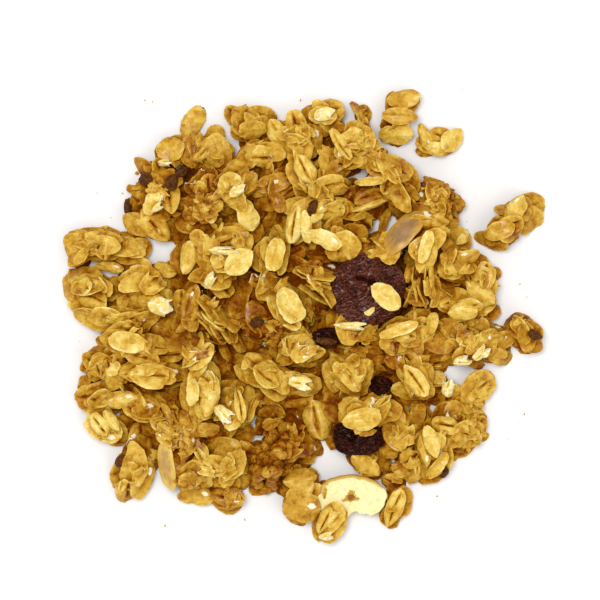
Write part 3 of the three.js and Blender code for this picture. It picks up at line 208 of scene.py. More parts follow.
# Clusters round the rim.
RIM = [
    ("studded clump", -35.5, 31.0, 9.0, 7.0, -30, 16, "jumble", 0, 0.40),
    ("studded clump foot", -38.5, 22.5, 6.5, 4.0, -20, 6, "flat", 0, 0.50),
    ("bready lump", -25.0, 27.5, 8.5, 6.0, 80, 14, "jumble", 0, 0.22),
    ("north west tip", -32.0, 41.0, 4.5, 3.5, 20, 4, "flat", 0, 0.45),
    ("north west notch", -27.5, 40.5, 3.5, 3.5, 90, 4, "jumble", 0, 0.35),
    ("north west oval", -21.8, 41.0, 4.5, 3.5, 90, 5, "flat", 0, 0.60),
    ("north peak", -13.2, 47.5, 5.8, 4.8, -20, 9, "shingle", -30, 0.50),
    ("north block", -10.5, 40.5, 6.0, 4.5, 0, 8, "flat", 0, 0.55),
    ("pale tongue north", -4.0, 44.5, 5.0, 2.0, -15, 3, "flat", 0, 0.72),
    ("pale crumbs", -17.0, 31.5, 5.5, 4.0, 60, 7, "jumble", 0, 0.60),
    ("west arm", -49.0, 17.8, 9.5, 4.5, -8, 13, "shingle", 100, 0.56),
    ("west arm tip", -55.8, 17.0, 4.0, 2.6, 90, 4, "flat", 0, 0.48),
    ("far west clump", -54.0, 5.5, 7.0, 6.5, -40, 12, "shingle", 150, 0.58),
    ("west block", -40.5, 7.5, 8.0, 6.0, 10, 12, "flat", 0, 0.61),
    ("west shelf", -46.0, -1.0, 12.0, 3.0, -5, 8, "shingle", -80, 0.54),
    ("broad pair west", -44.5, -6.0, 6.5, 5.0, 15, 8, "shingle", -60, 0.70),
    ("west edge upright", -51.5, -12.5, 4.5, 3.0, 90, 5, "jumble", 0, 0.46),
    ("west oval", -47.5, -14.5, 5.0, 4.0, 90, 5, "flat", 0, 0.60),
    ("layered brown edge", -51.5, -21.0, 5.5, 4.5, -20, 9, "jumble", 0, 0.48),
    ("bright pair", -49.3, -27.5, 4.5, 3.5, -50, 4, "flat", 0, 0.72),
    ("south west shelf", -38.3, -14.5, 6.5, 4.0, 0, 8, "shingle", 90, 0.54),
    ("south west clump", -41.5, -38.0, 9.0, 6.0, 80, 14, "shingle", -40, 0.58),
    ("ring leaf", -34.5, -29.0, 4.5, 3.5, -50, 4, "shingle", 40, 0.55),
    ("south leaf clump", -19.5, -38.0, 6.0, 6.0, -60, 11, "flat", 0, 0.66),
    ("south pale slat", -25.0, -38.5, 4.5, 2.5, -70, 3, "shingle", 180, 0.62),
    ("south foot", -27.8, -41.0, 3.5, 3.5, 0, 5, "flat", 0, 0.40),
    ("brown foot", -18.8, -46.0, 3.5, 2.5, 10, 4, "flat", 0, 0.32),
    ("left of the banana", -0.3, -45.5, 7.0, 4.5, 90, 9, "flat", 0, 0.50),
    ("below the banana", 6.5, -52.0, 4.5, 3.5, 60, 6, "flat", 0, 0.65),
    ("right of the banana", 23.0, -48.3, 5.0, 3.5, 70, 4, "flat", 0, 0.50),
    ("south east slats", 31.5, -34.5, 8.5, 6.0, 65, 14, "shingle", -150, 0.58),
    ("brown mass", 40.0, -28.5, 6.5, 5.5, 60, 10, "flat", 0, 0.50),
    ("mottled", 36.5, -18.5, 4.0, 3.5, 80, 6, "jumble", 0, 0.58),
    ("gold stub", 44.5, -18.5, 4.0, 3.0, 50, 5, "flat", 0, 0.60),
    ("east clump", 44.5, -8.0, 8.5, 6.5, 0, 15, "jumble", 0, 0.50),
    ("east tail", 55.6, -4.5, 4.5, 3.0, -60, 6, "jumble", 0, 0.38),
    ("east bright", 41.5, 2.0, 6.0, 5.0, -30, 8, "flat", 0, 0.62),
    ("east upper", 45.0, 10.5, 6.0, 5.5, 80, 10, "flat", 0, 0.60),
    ("east inner", 37.5, 13.5, 6.0, 4.5, 0, 8, "jumble", 0, 0.50),
    ("papery", 39.5, 19.3, 4.0, 2.8, -5, 4, "flat", 0, 0.78),
    ("lumpy brown", 33.0, 28.5, 6.0, 5.5, -30, 15, "jumble", 0, 0.35),
    ("north east shingles", 23.8, 31.0, 7.0, 5.0, -55, 11, "shingle", -150, 0.52),
    ("north east slope", 20.5, 38.0, 6.5, 3.5, -35, 7, "shingle", 60, 0.45),
    ("north east block", 12.5, 42.5, 5.5, 4.5, -50, 8, "flat", 0, 0.55),
    ("north crown", 5.0, 49.3, 4.5, 3.8, 0, 6, "flat", 0, 0.62),
    ("north stack", -0.5, 43.5, 5.0, 4.5, 80, 7, "flat", 0, 0.60),
    ("leaf north east", 32.0, 22.0, 5.0, 4.5, -60, 6, "flat", 0, 0.45),
    ("standing sliver", 15.5, 49.0, 4.5, 1.5, -65, 2, "edge", 20, 0.30),
]
# Clusters of the upper layer.
UPPER = [
    ("pale curls", -22.5, 9.5, 5.0, 4.0, -20, 6, "jumble", 0, 0.55),
    ("between the brights", -25.5, 17.5, 5.0, 4.0, 90, 5, "shingle", 180, 0.50),
    ("brown leaf patch", -17.5, 19.0, 6.0, 4.0, 10, 7, "flat", 0, 0.40),
    ("dim middle", -10.0, 8.0, 4.5, 4.0, 90, 5, "flat", 0, 0.38),
    ("north of the fruit", 10.5, 17.5, 7.0, 4.0, -10, 8, "flat", 0, 0.48),
    ("nubs", 20.5, 16.5, 4.0, 3.5, 0, 6, "jumble", 0, 0.50),
    ("left of the fruit", 3.5, 8.0, 6.5, 3.0, -70, 8, "edge", 60, 0.60),
    ("below the fruit", 13.0, -4.0, 8.0, 3.0, -10, 7, "flat", 0, 0.42),
    ("upper north", 2.0, 34.5, 6.5, 5.0, -60, 8, "shingle", 30, 0.62),
    ("upper north right", 7.5, 36.0, 4.5, 4.5, 80, 6, "flat", 0, 0.50),
    ("long lens", 5.5, 31.5, 5.0, 2.5, 5, 4, "shingle", -90, 0.52),
    ("upper north east", 14.8, 43.0, 5.0, 3.5, 0, 5, "flat", 0, 0.50),
    ("bright fan west", -19.5, 14.5, 6.0, 5.0, 25, 9, "shingle", 120, 0.72),
    ("bright fan middle", -7.0, 15.0, 5.0, 5.0, 70, 10, "shingle", 0, 0.72),
    ("two lobed", 0.5, 22.5, 5.5, 6.0, 80, 8, "flat", 0, 0.80),
    ("ring", 3.8, 27.0, 7.0, 2.8, 0, 6, "flat", 0, 0.66),
    ("standing sheaf", -21.8, -0.8, 9.0, 4.5, -50, 16, "edge", 40, 0.52),
    ("brown uprights", -28.3, 2.0, 5.5, 4.0, 80, 6, "shingle", 180, 0.42),
    ("bright middle", -2.0, 2.5, 6.5, 6.0, -60, 13, "shingle", 30, 0.72),
    ("rosette", -0.5, -8.5, 7.0, 5.0, 0, 13, "flat", 0, 0.62),
    ("white edges", -1.0, -17.3, 5.5, 3.0, 0, 7, "shingle", -90, 0.66),
    ("smooth west", -27.0, -11.0, 5.0, 4.5, 50, 7, "shingle", 150, 0.70),
    ("bright south west", -24.5, -19.5, 6.8, 5.4, 75, 11, "flat", 0, 0.76),
    ("crease stack", -17.0, -23.5, 6.0, 5.0, 75, 10, "shingle", 160, 0.72),
    ("long shingles", -10.0, -14.0, 7.5, 4.5, -40, 11, "shingle", 50, 0.60),
    ("edges east", 30.5, 5.0, 7.5, 5.5, 80, 12, "edge", 0, 0.48),
    ("shells", 25.5, -5.0, 8.5, 4.5, 15, 13, "shingle", -80, 0.62),
    ("dappled clump", 11.0, -14.5, 7.0, 6.0, -60, 14, "jumble", 0, 0.60),
    ("crease clump", 28.0, -16.3, 6.0, 5.0, -55, 9, "flat", 0, 0.66),
    ("on the long raisin", 16.8, -24.0, 7.5, 4.2, 15, 12, "flat", 0, 0.62),
    ("right of the fruit", 30.5, 16.3, 5.0, 3.5, 70, 5, "flat", 0, 0.70),
]
# Clusters lying beside the heap, in the same columns.
LOOSE = [
    ("loose_cluster_north", 24.4, 49.9, 8.0, 4.2, 78, 3, "flat", 0, 0.45),
    ("loose_cluster_north_east", 34.0, 42.8, 4.6, 3.0, 0, 2, "flat", 0, 0.60),
    ("loose_cluster_east", 52.0, 23.0, 8.8, 4.6, 42, 10, "jumble", 0, 0.50),
]
# Single oats on the loose clusters: cluster, x, y, length, width, heading, tone.
LOOSE_FLAKES = [
    ("loose_cluster_north", 25.3, 54.2, 8.6, 5.4, 10, 0.55),
    ("loose_cluster_north", 24.3, 49.8, 9.2, 4.4, -5, 0.42),
    ("loose_cluster_north", 23.3, 45.3, 8.6, 6.0, 5, 0.78),
    ("loose_cluster_north_east", 30.6, 44.6, 7.0, 4.4, -70, 0.60),
    ("loose_cluster_north_east", 33.6, 41.6, 6.4, 4.8, -10, 0.66),
    ("loose_cluster_north_east", 37.4, 44.0, 7.6, 5.0, 50, 0.84),
    ("loose_cluster_east", 53.0, 26.5, 8.4, 5.2, 60, 0.72),
    ("loose_cluster_east", 49.0, 21.0, 8.4, 5.0, 20, 0.44),
]
# Areas of the lowest layer: x, y, half length, half width.
BEDS = [
    (-3.0, 3.0, 44.0, 38.0),
    (0.0, 37.0, 26.0, 9.0),
    (-27.0, 28.0, 15.0, 12.0),
    (22.0, 25.0, 14.0, 9.0),
    (-6.0, -30.0, 30.0, 11.0),
    (-33.0, -22.0, 15.0, 14.0),
    (28.0, -26.0, 15.0, 14.0),
    (39.0, 2.0, 9.0, 13.0),
    (-8.0, -40.0, 7.0, 5.0),
]
# Places where the bare surface shows through: x, y, half length, half width.
GAPS = [
    (7.5, -36.8, 3.8, 3.3),
    (-36.8, 17.8, 2.6, 0.7),
    (39.5, -16.0, 2.2, 3.0),
    (26.8, -25.8, 0.2, 1.0),
    (-17.5, 41.8, 1.2, 1.6),
    (13.5, 35.0, 0.8, 0.8),
    (20.0, 21.3, 0.8, 0.8),
    (-25.0, -31.5, 1.0, 1.0),
    (-11.8, -30.3, 1.0, 1.0),
    (22.5, -36.8, 1.4, 1.4),
]
# Single large oats on top: x, y, length, width, heading, tone.
LARGE_FLAKES = [
    (16.8, 33.3, 8.5, 2.4, 8, 0.80),
    (17.0, 27.3, 10.5, 2.4, 18, 0.78),
    (20.5, 23.6, 7.0, 2.6, 70, 0.58),
    (28.6, -25.2, 7.2, 4.6, 80, 0.45),
    (-48.8, 12.0, 7.6, 4.0, -8, 0.62),
    (-27.8, 48.5, 9.5, 7.0, 60, 0.60),
    (-33.0, 41.5, 7.5, 6.2, 20, 0.50),
    (-28.8, 14.5, 8.5, 4.5, 80, 0.80),
    (-15.8, 13.3, 8.5, 6.0, 35, 0.88),
    (-13.8, 25.0, 8.5, 6.0, -65, 0.88),
    (-2.3, 22.5, 9.5, 4.6, 80, 0.92),
    (1.0, 22.0, 8.5, 3.8, -85, 0.88),
    (5.5, 18.8, 9.0, 6.5, -20, 0.92),
    (-3.3, 2.5, 9.5, 7.0, -60, 0.92),
    (-7.0, 15.0, 8.5, 6.0, 75, 0.78),
    (-45.8, -21.3, 9.5, 5.0, 5, 0.88),
    (-51.0, -27.5, 6.5, 4.5, -50, 0.88),
    (-47.8, -26.3, 6.5, 3.5, -55, 0.86),
    (-27.5, -19.3, 7.0, 5.0, 80, 0.92),
    (-23.3, -22.0, 7.0, 5.0, 70, 0.82),
    (-15.8, -22.5, 9.0, 3.6, -80, 0.82),
    (-24.5, -28.8, 7.5, 5.0, 0, 0.50),
    (-27.0, -45.5, 9.0, 7.5, -5, 0.60),
    (-0.8, -40.8, 8.5, 6.5, 10, 0.55),
    (-0.3, -48.3, 9.5, 8.5, 0, 0.42),
    (5.5, -51.3, 7.5, 3.8, 65, 0.68),
    (3.5, -26.3, 10.5, 7.0, -75, 0.64),
    (23.0, -48.3, 10.5, 6.0, 70, 0.66),
    (28.0, -16.3, 9.5, 6.5, -55, 0.72),
    (39.8, 0.8, 7.5, 5.8, 5, 0.80),
    (44.3, 5.8, 9.0, 5.5, -40, 0.84),
    (45.5, 11.3, 9.0, 6.0, 75, 0.72),
    (30.5, 16.8, 8.5, 4.0, 75, 0.88),
    (9.3, 42.5, 9.0, 4.0, -55, 0.72),
    (0.5, 36.3, 8.5, 5.0, -60, 0.74),
    (14.8, -25.8, 10.0, 6.0, 10, 0.68),
    (35.5, -27.5, 7.0, 5.0, -10, 0.78),
    (23.8, -3.8, 10.0, 3.5, 20, 0.72),
    (31.8, -2.5, 6.5, 4.5, 70, 0.68),
    (-34.5, 11.3, 6.0, 4.5, -20, 0.80),
    (-35.0, 3.8, 6.0, 6.0, 0, 0.94),
    (-37.8, 28.0, 6.5, 4.5, 60, 0.94),
    (15.5, -37.5, 8.5, 5.5, -40, 0.50),
    (5.0, 49.8, 7.0, 7.0, 0, 0.85),
    (32.0, -31.5, 8.5, 4.0, -70, 0.80),
    (30.0, -33.8, 8.5, 3.8, -80, 0.72),
    (33.5, -37.5, 8.0, 3.5, 55, 0.74),
]
# Dark seeds and bran: x, y, length, width, heading.
SEEDS = [
    (-39.0, 33.8, 3.6, 3.2, 0),
    (-32.5, 33.3, 4.2, 3.0, 70),
    (-30.3, 35.8, 3.4, 2.6, 30),
    (-44.0, 27.5, 4.5, 2.0, 90),
    (2.5, 26.8, 4.0, 2.5, 70),
    (57.8, -5.0, 3.8, 2.6, -20),
    (-11.3, -1.8, 3.6, 2.6, 20),
    (-45.5, -36.3, 3.2, 2.4, 60),
    (35.5, -39.3, 3.2, 2.2, 60),
]
# Crumpled white bits: x, y, length, width, heading.
CRUMPLES = [
    (-34.3, 38.0, 4.2, 2.0, 0),
    (-36.3, 26.8, 3.6, 2.4, 40),
    (5.3, 50.0, 5.5, 4.2, 10),
    (-35.8, 2.5, 7.0, 5.2, -15),
    (-19.5, 15.8, 8.0, 2.6, -5),
    (-0.8, -17.0, 6.0, 3.4, -10),
    (-19.5, -24.5, 6.0, 4.0, -40),
    (5.8, -55.0, 4.0, 3.0, 20),
    (-23.0, 8.8, 5.0, 3.0, 60),
    (-16.5, 31.3, 5.0, 3.0, 40),
    (39.8, 19.3, 7.0, 4.5, 20),
    (39.8, -11.3, 5.0, 3.0, 10),
    (44.3, -9.3, 5.0, 3.0, 50),
    (36.3, -18.3, 5.0, 3.6, 80),
    (11.8, -2.5, 8.5, 2.8, 0),
]
# The lump of puffed cereal balls: x, y, half length, half width, heading, balls.
BALL_LUMP = (-7.0, -36.0, 9.5, 5.6, 65, 64)
# Places of the large oats that lie with their crease upwards: x, y.
CREASED = [
    (45.5, 11.8), (43.5, 3.8), (10.0, 42.5), (4.3, -26.3), (28.0, -16.3), (23.0, -48.3), (5.5, -51.8),
    (-15.8, -21.3), (-57.0, 17.0), (-0.8, 22.5), (31.8, -33.3), (36.3, -28.0), (-12.0, 41.5), (23.0, 31.3),
    (-48.0, 6.5), (-52.0, -28.5), (-24.0, -19.0), (1.3, 35.8), (-21.5, 41.8),
]
# Lumps crusted with small crumbs: x, y, half length, half width, heading, tone.
CRUSTS = [
    (-24.5, 27.5, 6.0, 7.0, 0, 0.34),
    (34.0, 29.0, 6.0, 5.0, -20, 0.33),
    (42.5, -28.0, 3.5, 5.5, 10, 0.42),
    (43.0, -4.0, 5.0, 4.0, 0, 0.46),
    (-42.5, 32.0, 5.0, 4.0, -30, 0.4),
    (-6.0, -5.0, 4.0, 3.5, 0, 0.3),
    (16.0, 42.0, 4.0, 3.5, 0, 0.36),
    (-30.0, -32.0, 5.0, 4.0, 0, 0.36),
    (52.0, 20.5, 5.0, 4.0, 20, 0.4),
]

# ---- the larger pieces ----
# The middle of each, its full sizes and its heading in degrees. Each comes to rest on the pile, but
# the banana chip lies at a set level. The fold is the depth of the puckers of a shrivelled one.
FRUIT = dict(x=16.1, y=6.3, length=19.0, width=18.0, thickness=5.2, heading=20, fold=0.45)
FRUIT_PUCKERS = 5
OAT_ON_FRUIT = dict(x=20.5, y=4.6, length=9.0, width=5.8, thickness=1.5, heading=-38, lift=0.75, tone=0.84)
BIT_ON_FRUIT = dict(x=16.8, y=1.0, length=3.3, width=2.2, thickness=0.9, heading=20, lift=0.35, tone=0.9)
TILT_ON_FRUIT = (0.22, -0.1)
SEED_ON_RAISIN = dict(x=5.6, y=-6.5, length=5.2, width=1.9, thickness=1.5, heading=-6, lift=0.0, tone=0)
BANANA = dict(x=12.0, y=-45.7, z=3.4, length=18.2, width=11.4, thickness=2.8, heading=0)
BANANA_UNDERSIDE = BANANA["z"] - BANANA["thickness"] / 2 - FLAKE_THICKNESS / 2
BANANA_BROKEN_EDGE = -4.4  # the broken side, measured from the middle of the slice
BANANA_NOTCH = dict(x=1.8, width=1.6, depth=0.9)  # a bite in that side
BANANA_TILT = (0.05, -0.06)
RAISIN_PUCKERS = 3
RAISINS = {
    "raisin_south": dict(x=13.8, y=-30.4, length=13.0, width=10.0, thickness=5.6, heading=-5, fold=0.35),
    "raisin_middle": dict(x=6.5, y=-5.6, length=9.0, width=5.0, thickness=4.0, heading=0, fold=0.2),
    "raisin_east": dict(x=19.6, y=-17.6, length=6.0, width=4.4, thickness=3.6, heading=10, fold=0.15),
}
COCONUTS = {
    "coconut_chip_east": dict(x=25.0, y=20.6, length=13.2, width=6.6, thickness=1.1, heading=47),
    "coconut_chip_south_west": dict(x=-34.0, y=-37.6, length=12.6, width=4.6, thickness=1.1, heading=95),
}
COCONUT_BOW = 0.7

# ---- settling ----
# For each lay: how far its oats wobble and lean (radians) and how far their headings swing (degrees).
LAYS = {
    "flat": (0.34, 0, 80),
    "shingle": (0.2, 0.5, 35),
    "edge": (0.18, 1.2, 12),
    "jumble": (0.8, 0, 80),
}
GOLDEN_ANGLE = 2.399963
CLUSTER_SEEDS = {
    row[0]: seed
    for rows, first in ((LOWER + RIM + UPPER, HEAP_SEED), (LOOSE, LOOSE_SEED))
    for seed, row in enumerate(rows, first)
}


class Dice:
    """A repeatable dice. Each cluster has its own, so a change to one leaves the others as they are."""

    FACTOR = 16807
    RANGE = 2147483647
    SEED_SPACING = 7919
    START = 17
    SKIPPED_ROLLS = 3  # the first rolls of neighbouring seeds are alike

    def __init__(self, seed):
        self.state = seed * self.SEED_SPACING + self.START
        for _ in range(self.SKIPPED_ROLLS):
            self.roll()

    def roll(self):
        self.state = self.state * self.FACTOR % self.RANGE
        return self.state / self.RANGE

    def between(self, least, most):
        return least + (most - least) * self.roll()

    def spread(self):
        return self.roll() + self.roll() - 1

    def oat(self):
        """The length and width of an oat."""
        length = self.between(*FLAKE_LENGTH)
        return length, length * self.between(*FLAKE_WIDTH)


@dataclass
class Piece:
    """One oat, ball, seed or bit: its place, full sizes and axes, and how it settles."""

    layer: str
    group: str
    x: float
    y: float
    size: tuple
    axes: np.ndarray  # rows: along its length, across it, and out of its face
    tone: float
    share: float = 0
    sink: float = 0
    ceiling: float = NO_CEILING
    z: float = None

    @property
    def place(self):
        return np.array((self.x, self.y, self.z))


def cell_of(value):
    return max(0, min(CELLS - 1, int((value + MAP_HALF) / MAP_CELL)))


def middle_of(cells):
    return (cells + 0.5) * MAP_CELL - MAP_HALF


def turned(x, y, a, b, turn):
    """The point that lies at a along and b across a spot with a heading in radians."""
    return x + a * math.cos(turn) - b * math.sin(turn), y + a * math.sin(turn) + b * math.cos(turn)


def axes_of(tilt_x, tilt_y, heading):
    """Axes of a piece: along its length, across it, and out of its face."""
    normal = np.array((tilt_x, tilt_y, 1.0))
    normal /= np.linalg.norm(normal)
    along = np.array((math.cos(heading), math.sin(heading), 0.0))
    along -= normal * along.dot(normal)
    along /= np.linalg.norm(along)
    return np.array((along, np.cross(normal, along), normal))


def oval_of(spot, inset=(0, 0), shift=(0, 0)):
    """The middle and half sizes of a spot, drawn in and shifted."""
    half_sizes = (spot["length"] / 2 - inset[0], spot["width"] / 2 - inset[1])
    return (spot["x"] + shift[0], spot["y"] + shift[1], *half_sizes)


def inside(x, y, oval, grow=0):
    return ((x - oval[0]) / (oval[2] + grow)) ** 2 + ((y - oval[1]) / (oval[3] + grow)) ** 2 < 1


def ceiling_at(x, y):
    """How high the pile may grow at a point. Under the banana chip it stays below its underside."""
    if inside(x, y, oval_of(BANANA)):
        return BANANA_UNDERSIDE
    r = math.hypot(x / HEAP_REACH[0], y / HEAP_REACH[1])
    return RIM_HEIGHT + (MIDDLE_HEIGHT - RIM_HEIGHT) * max(0, 1 - r**ROUNDNESS)


class Pile:
    """A height map on which pieces come to rest, and the pieces laid so far."""

    def __init__(self):
        self.height = np.zeros((CELLS, CELLS))
        self.owner = np.full((CELLS, CELLS), -1)
        self.blocked = np.zeros((CELLS, CELLS), bool)
        self.placed = []
        self.clear_of = []

    def slope_at(self, x, y, reach):
        """Slope of the pile within a reach of a point."""
        rows = np.arange(cell_of(y - reach), cell_of(y + reach) + 1)
        columns = np.arange(cell_of(x - reach), cell_of(x + reach) + 1)
        h = self.height[rows[0] : rows[-1] + 1, columns[0] : columns[-1] + 1]
        dx = middle_of(columns) - x
        dy = middle_of(rows) - y
        span = len(rows) * (dx**2).sum()
        gx = (h * dx).sum() / span
        gy = (h * dy[:, None]).sum() / span
        keep = min(1, STEEPEST / max(TINY, math.hypot(gx, gy)))
        return gx * keep, gy * keep

    def settle(self, piece):
        """Lowers an oval piece onto the pile, and keeps it unless it lies on blocked cells.

        It rests where its share of the cells under it lie clear below it, and then sinks in a little.
        """
        u, v, n = piece.axes
        a, b, c = (s / 2 for s in piece.size)

        def form(i, j):
            return u[i] * u[j] / a**2 + v[i] * v[j] / b**2 + n[i] * n[j] / c**2

        reach_x = math.hypot(a * u[0], b * v[0], c * n[0])
        reach_y = math.hypot(a * u[1], b * v[1], c * n[1])
        rows = np.arange(cell_of(piece.y - reach_y), cell_of(piece.y + reach_y) + 1)
        columns = np.arange(cell_of(piece.x - reach_x), cell_of(piece.x + reach_x) + 1)
        window = np.s_[rows[0] : rows[-1] + 1, columns[0] : columns[-1] + 1]
        dx = middle_of(columns)[None, :] - piece.x
        dy = middle_of(rows)[:, None] - piece.y
        half = form(0, 2) * dx + form(1, 2) * dy
        flat = form(0, 0) * dx**2 + 2 * form(0, 1) * dx * dy + form(1, 1) * dy**2
        rest = half**2 - form(2, 2) * (flat - 1)
        covered = rest > 0
        if not covered.any() or (piece.group == "heap" and self.blocked[window][covered].any()):
            return None
        root = np.sqrt(rest[covered])
        under = (-half[covered] - root) / form(2, 2)
        over = (-half[covered] + root) / form(2, 2)
        lifts = np.sort(self.height[window][covered] - under)
        if piece.z is None:
            z = lifts[int(piece.share * (len(lifts) - 1))] - piece.sink
            if z > piece.ceiling:
                z = piece.ceiling + OVER_CEILING * (z - piece.ceiling)
            piece.z = max(z, (-under).max())
        height = self.height[window]
        owner = self.owner[window]
        tops = np.full(height.shape, -np.inf)
        tops[covered] = piece.z + over
        raised = tops > height
        height[raised] = tops[raised]
        owner[raised] = len(self.placed)
        self.placed.append(piece)
        return piece

    def kept_clear(self, x, y):
        """Oats keep off the gaps, and off the tops of the fruit, the middle raisin and the banana chip."""
        near_gap = any(inside(x, y, gap, GAP_MARGIN) for gap in GAPS)
        return near_gap or any(inside(x, y, oval) for oval in self.clear_of)

    def block_around(self, reach):
        """Marks the surroundings of what has been laid so far, so that the heap stays clear of it."""
        cells = math.ceil(reach / MAP_CELL)
        for row, column in zip(*np.nonzero(self.owner >= 0)):
            self.blocked[row - cells : row + cells + 1, column - cells : column + cells + 1] = True

    def lay_clusters(self, rows, layer, group="heap"):
        for row in rows:
            self.lay_cluster(row, group, layer)

    def lay_cluster(self, row, group, layer):
        """The oats of one cluster, or the hidden ones below it."""
        name, x0, y0, half_length, half_width, heading, oats, lay, lean, tone = row
        below = layer == "below"
        dice = Dice(CLUSTER_SEEDS[name] + (BELOW_SEED if below else 0))
        hidden = max(2, int(half_length * half_width * math.pi / HIDDEN_AREA + 0.5))
        count = hidden if below else oats
        wobble, base, swing = (HIDDEN_WOBBLE, 0, LAYS["flat"][2]) if below else LAYS[lay]
        inset = HIDDEN_INSET if below else OAT_INSET
        reach_a = max(LEAST_REACH[0], half_length - inset[0])
        reach_b = max(LEAST_REACH[1], half_width - inset[1])
        facing = lean + 90 if lay == "edge" and not below else heading
        for k in range(count):
            if below:
                r = HIDDEN_SPREAD * math.sqrt((k + 0.5) / count)
            else:
                r = math.sqrt(1 - INWARD_SPAN * (k + 0.5) / count)
            angle = dice.roll() * TURN_JITTER + k * GOLDEN_ANGLE
            a = reach_a * r * math.cos(angle)
            b = reach_b * r * math.sin(angle)
            x, y = turned(x0, y0, a, b, heading * DEGREE)
            length, width = dice.oat()
            if dice.roll() < BROKEN_SHARE:
                length *= BROKEN_LENGTH
                width *= BROKEN_WIDTH
            wobble_x = wobble * WOBBLE_SPREAD * dice.spread()
            wobble_y = wobble * WOBBLE_SPREAD * dice.spread()
            lean_turn = (lean + LEAN_TURN_SPREAD * dice.spread()) * DEGREE
            lean_by = math.tan(base * (1 + LEAN_SPREAD * dice.spread())) if base else 0
            along = (facing + swing * dice.spread()) * DEGREE
            shade = tone + TONE_SPREAD * dice.spread()
            if group == "heap" and self.kept_clear(x, y):
                continue
            gx, gy = self.slope_at(x, y, SLOPE_REACH)
            fall_x = CLUSTER_FALL * (x - x0) / max(half_length, LEAST_FALL_REACH)
            fall_y = CLUSTER_FALL * (y - y0) / max(half_width, LEAST_FALL_REACH)
            tilt_x = wobble_x - SLOPE_FOLLOWED * gx + fall_x + lean_by * math.cos(lean_turn)
            tilt_y = wobble_y - SLOPE_FOLLOWED * gy + fall_y + lean_by * math.sin(lean_turn)
            size = (length, width, FLAKE_THICKNESS)
            axes = axes_of(tilt_x, tilt_y, along)
            sink = FLAKE_SINK
            ceiling = ceiling_at(x, y)
            if below:
                # Painted shade: a hidden oat is darker than its cluster.
                shade = max(HIDDEN_TONE, tone - TONE_SPREAD)
                sink = HIDDEN_SINK
                ceiling *= HIDDEN_CEILING
            self.settle(Piece(layer, group, x, y, size, axes, shade, FLAKE_SHARE, sink, ceiling))

    def lay_beds(self):
        """The lowest layer, on a staggered grid inside the beds."""
        dice = Dice(BED_SEED)
        row_pitch = BED_PITCH * BED_ROW_SHARE
        for row in range(math.ceil(BED_SPAN[1] / row_pitch)):
            for column in range(math.ceil(BED_SPAN[0] / BED_PITCH)):
                stagger = BED_PITCH / 2 if row % 2 else 0
                x = column * BED_PITCH - BED_SPAN[0] / 2 + stagger + BED_JITTER * dice.spread()
                y = row * row_pitch - BED_SPAN[1] / 2 + BED_JITTER * dice.spread()
                size = (*dice.oat(), FLAKE_THICKNESS)
                along = dice.between(0, math.pi)
                axes = axes_of(BED_TILT * dice.spread(), BED_TILT * dice.spread(), along)
                shade = BED_TONE + TONE_SPREAD * dice.spread()
                if not any(inside(x, y, bed) for bed in BEDS):
                    continue
                if any(inside(x, y, gap, BED_GAP_MARGIN) for gap in GAPS):
                    continue
                ceiling = ceiling_at(x, y) * BED_CEILING
                self.settle(Piece("bed", "heap", x, y, size, axes, shade, BED_SHARE, BED_SINK, ceiling))

    def lay(self, spot, rest, layer, group="heap"):
        """A piece set on the pile by itself."""
        share, sink, level = rest
        gx, gy = self.slope_at(spot["x"], spot["y"], SPOT_REACH)
        size = (spot["length"], spot["width"], spot["thickness"])
        axes = axes_of(-level * gx, -level * gy, spot["heading"] * DEGREE)
        tone = spot.get("tone", 0)
        self.settle(Piece(layer, group, spot["x"], spot["y"], size, axes, tone, share, sink, z=spot.get("z")))

    def lay_rows(self, rows, thickness, layer, group="heap"):
        """Single pieces of one layer. A row gives x, y, length, width, heading and perhaps a tone."""
        columns = ("x", "y", "length", "width", "heading", "tone")
        for row in rows:
            self.lay(dict(zip(columns, row), thickness=thickness), RESTS[layer], layer, group)

    def lay_balls(self, row):
        """A lump of crisp balls, laid from its outline to its middle."""
        x0, y0, half_length, half_width, heading, count = row
        dice = Dice(BALL_SEED)
        for k in range(count):
            r = math.sqrt(1 - INWARD_SPAN * (k + 0.5) / count)
            angle = dice.roll() + k * GOLDEN_ANGLE
            a = (half_length - BALL_INSET) * r * math.cos(angle)
            b = (half_width - BALL_INSET) * r * math.sin(angle)
            x, y = turned(x0, y0, a, b, heading * DEGREE)
            across = dice.between(*BALL_SIZE)
            size = tuple(across * share for share in BALL_SHAPE)
            tone = BALL_TONE + BALL_TONE_SPREAD * dice.spread()
            tilt_x = BALL_TILT * dice.spread()
            tilt_y = BALL_TILT * dice.spread()
            axes = axes_of(tilt_x, tilt_y, dice.between(0, math.pi))
            self.settle(Piece("ball", "heap", x, y, size, axes, tone, BALL_SHARE, BALL_SINK))


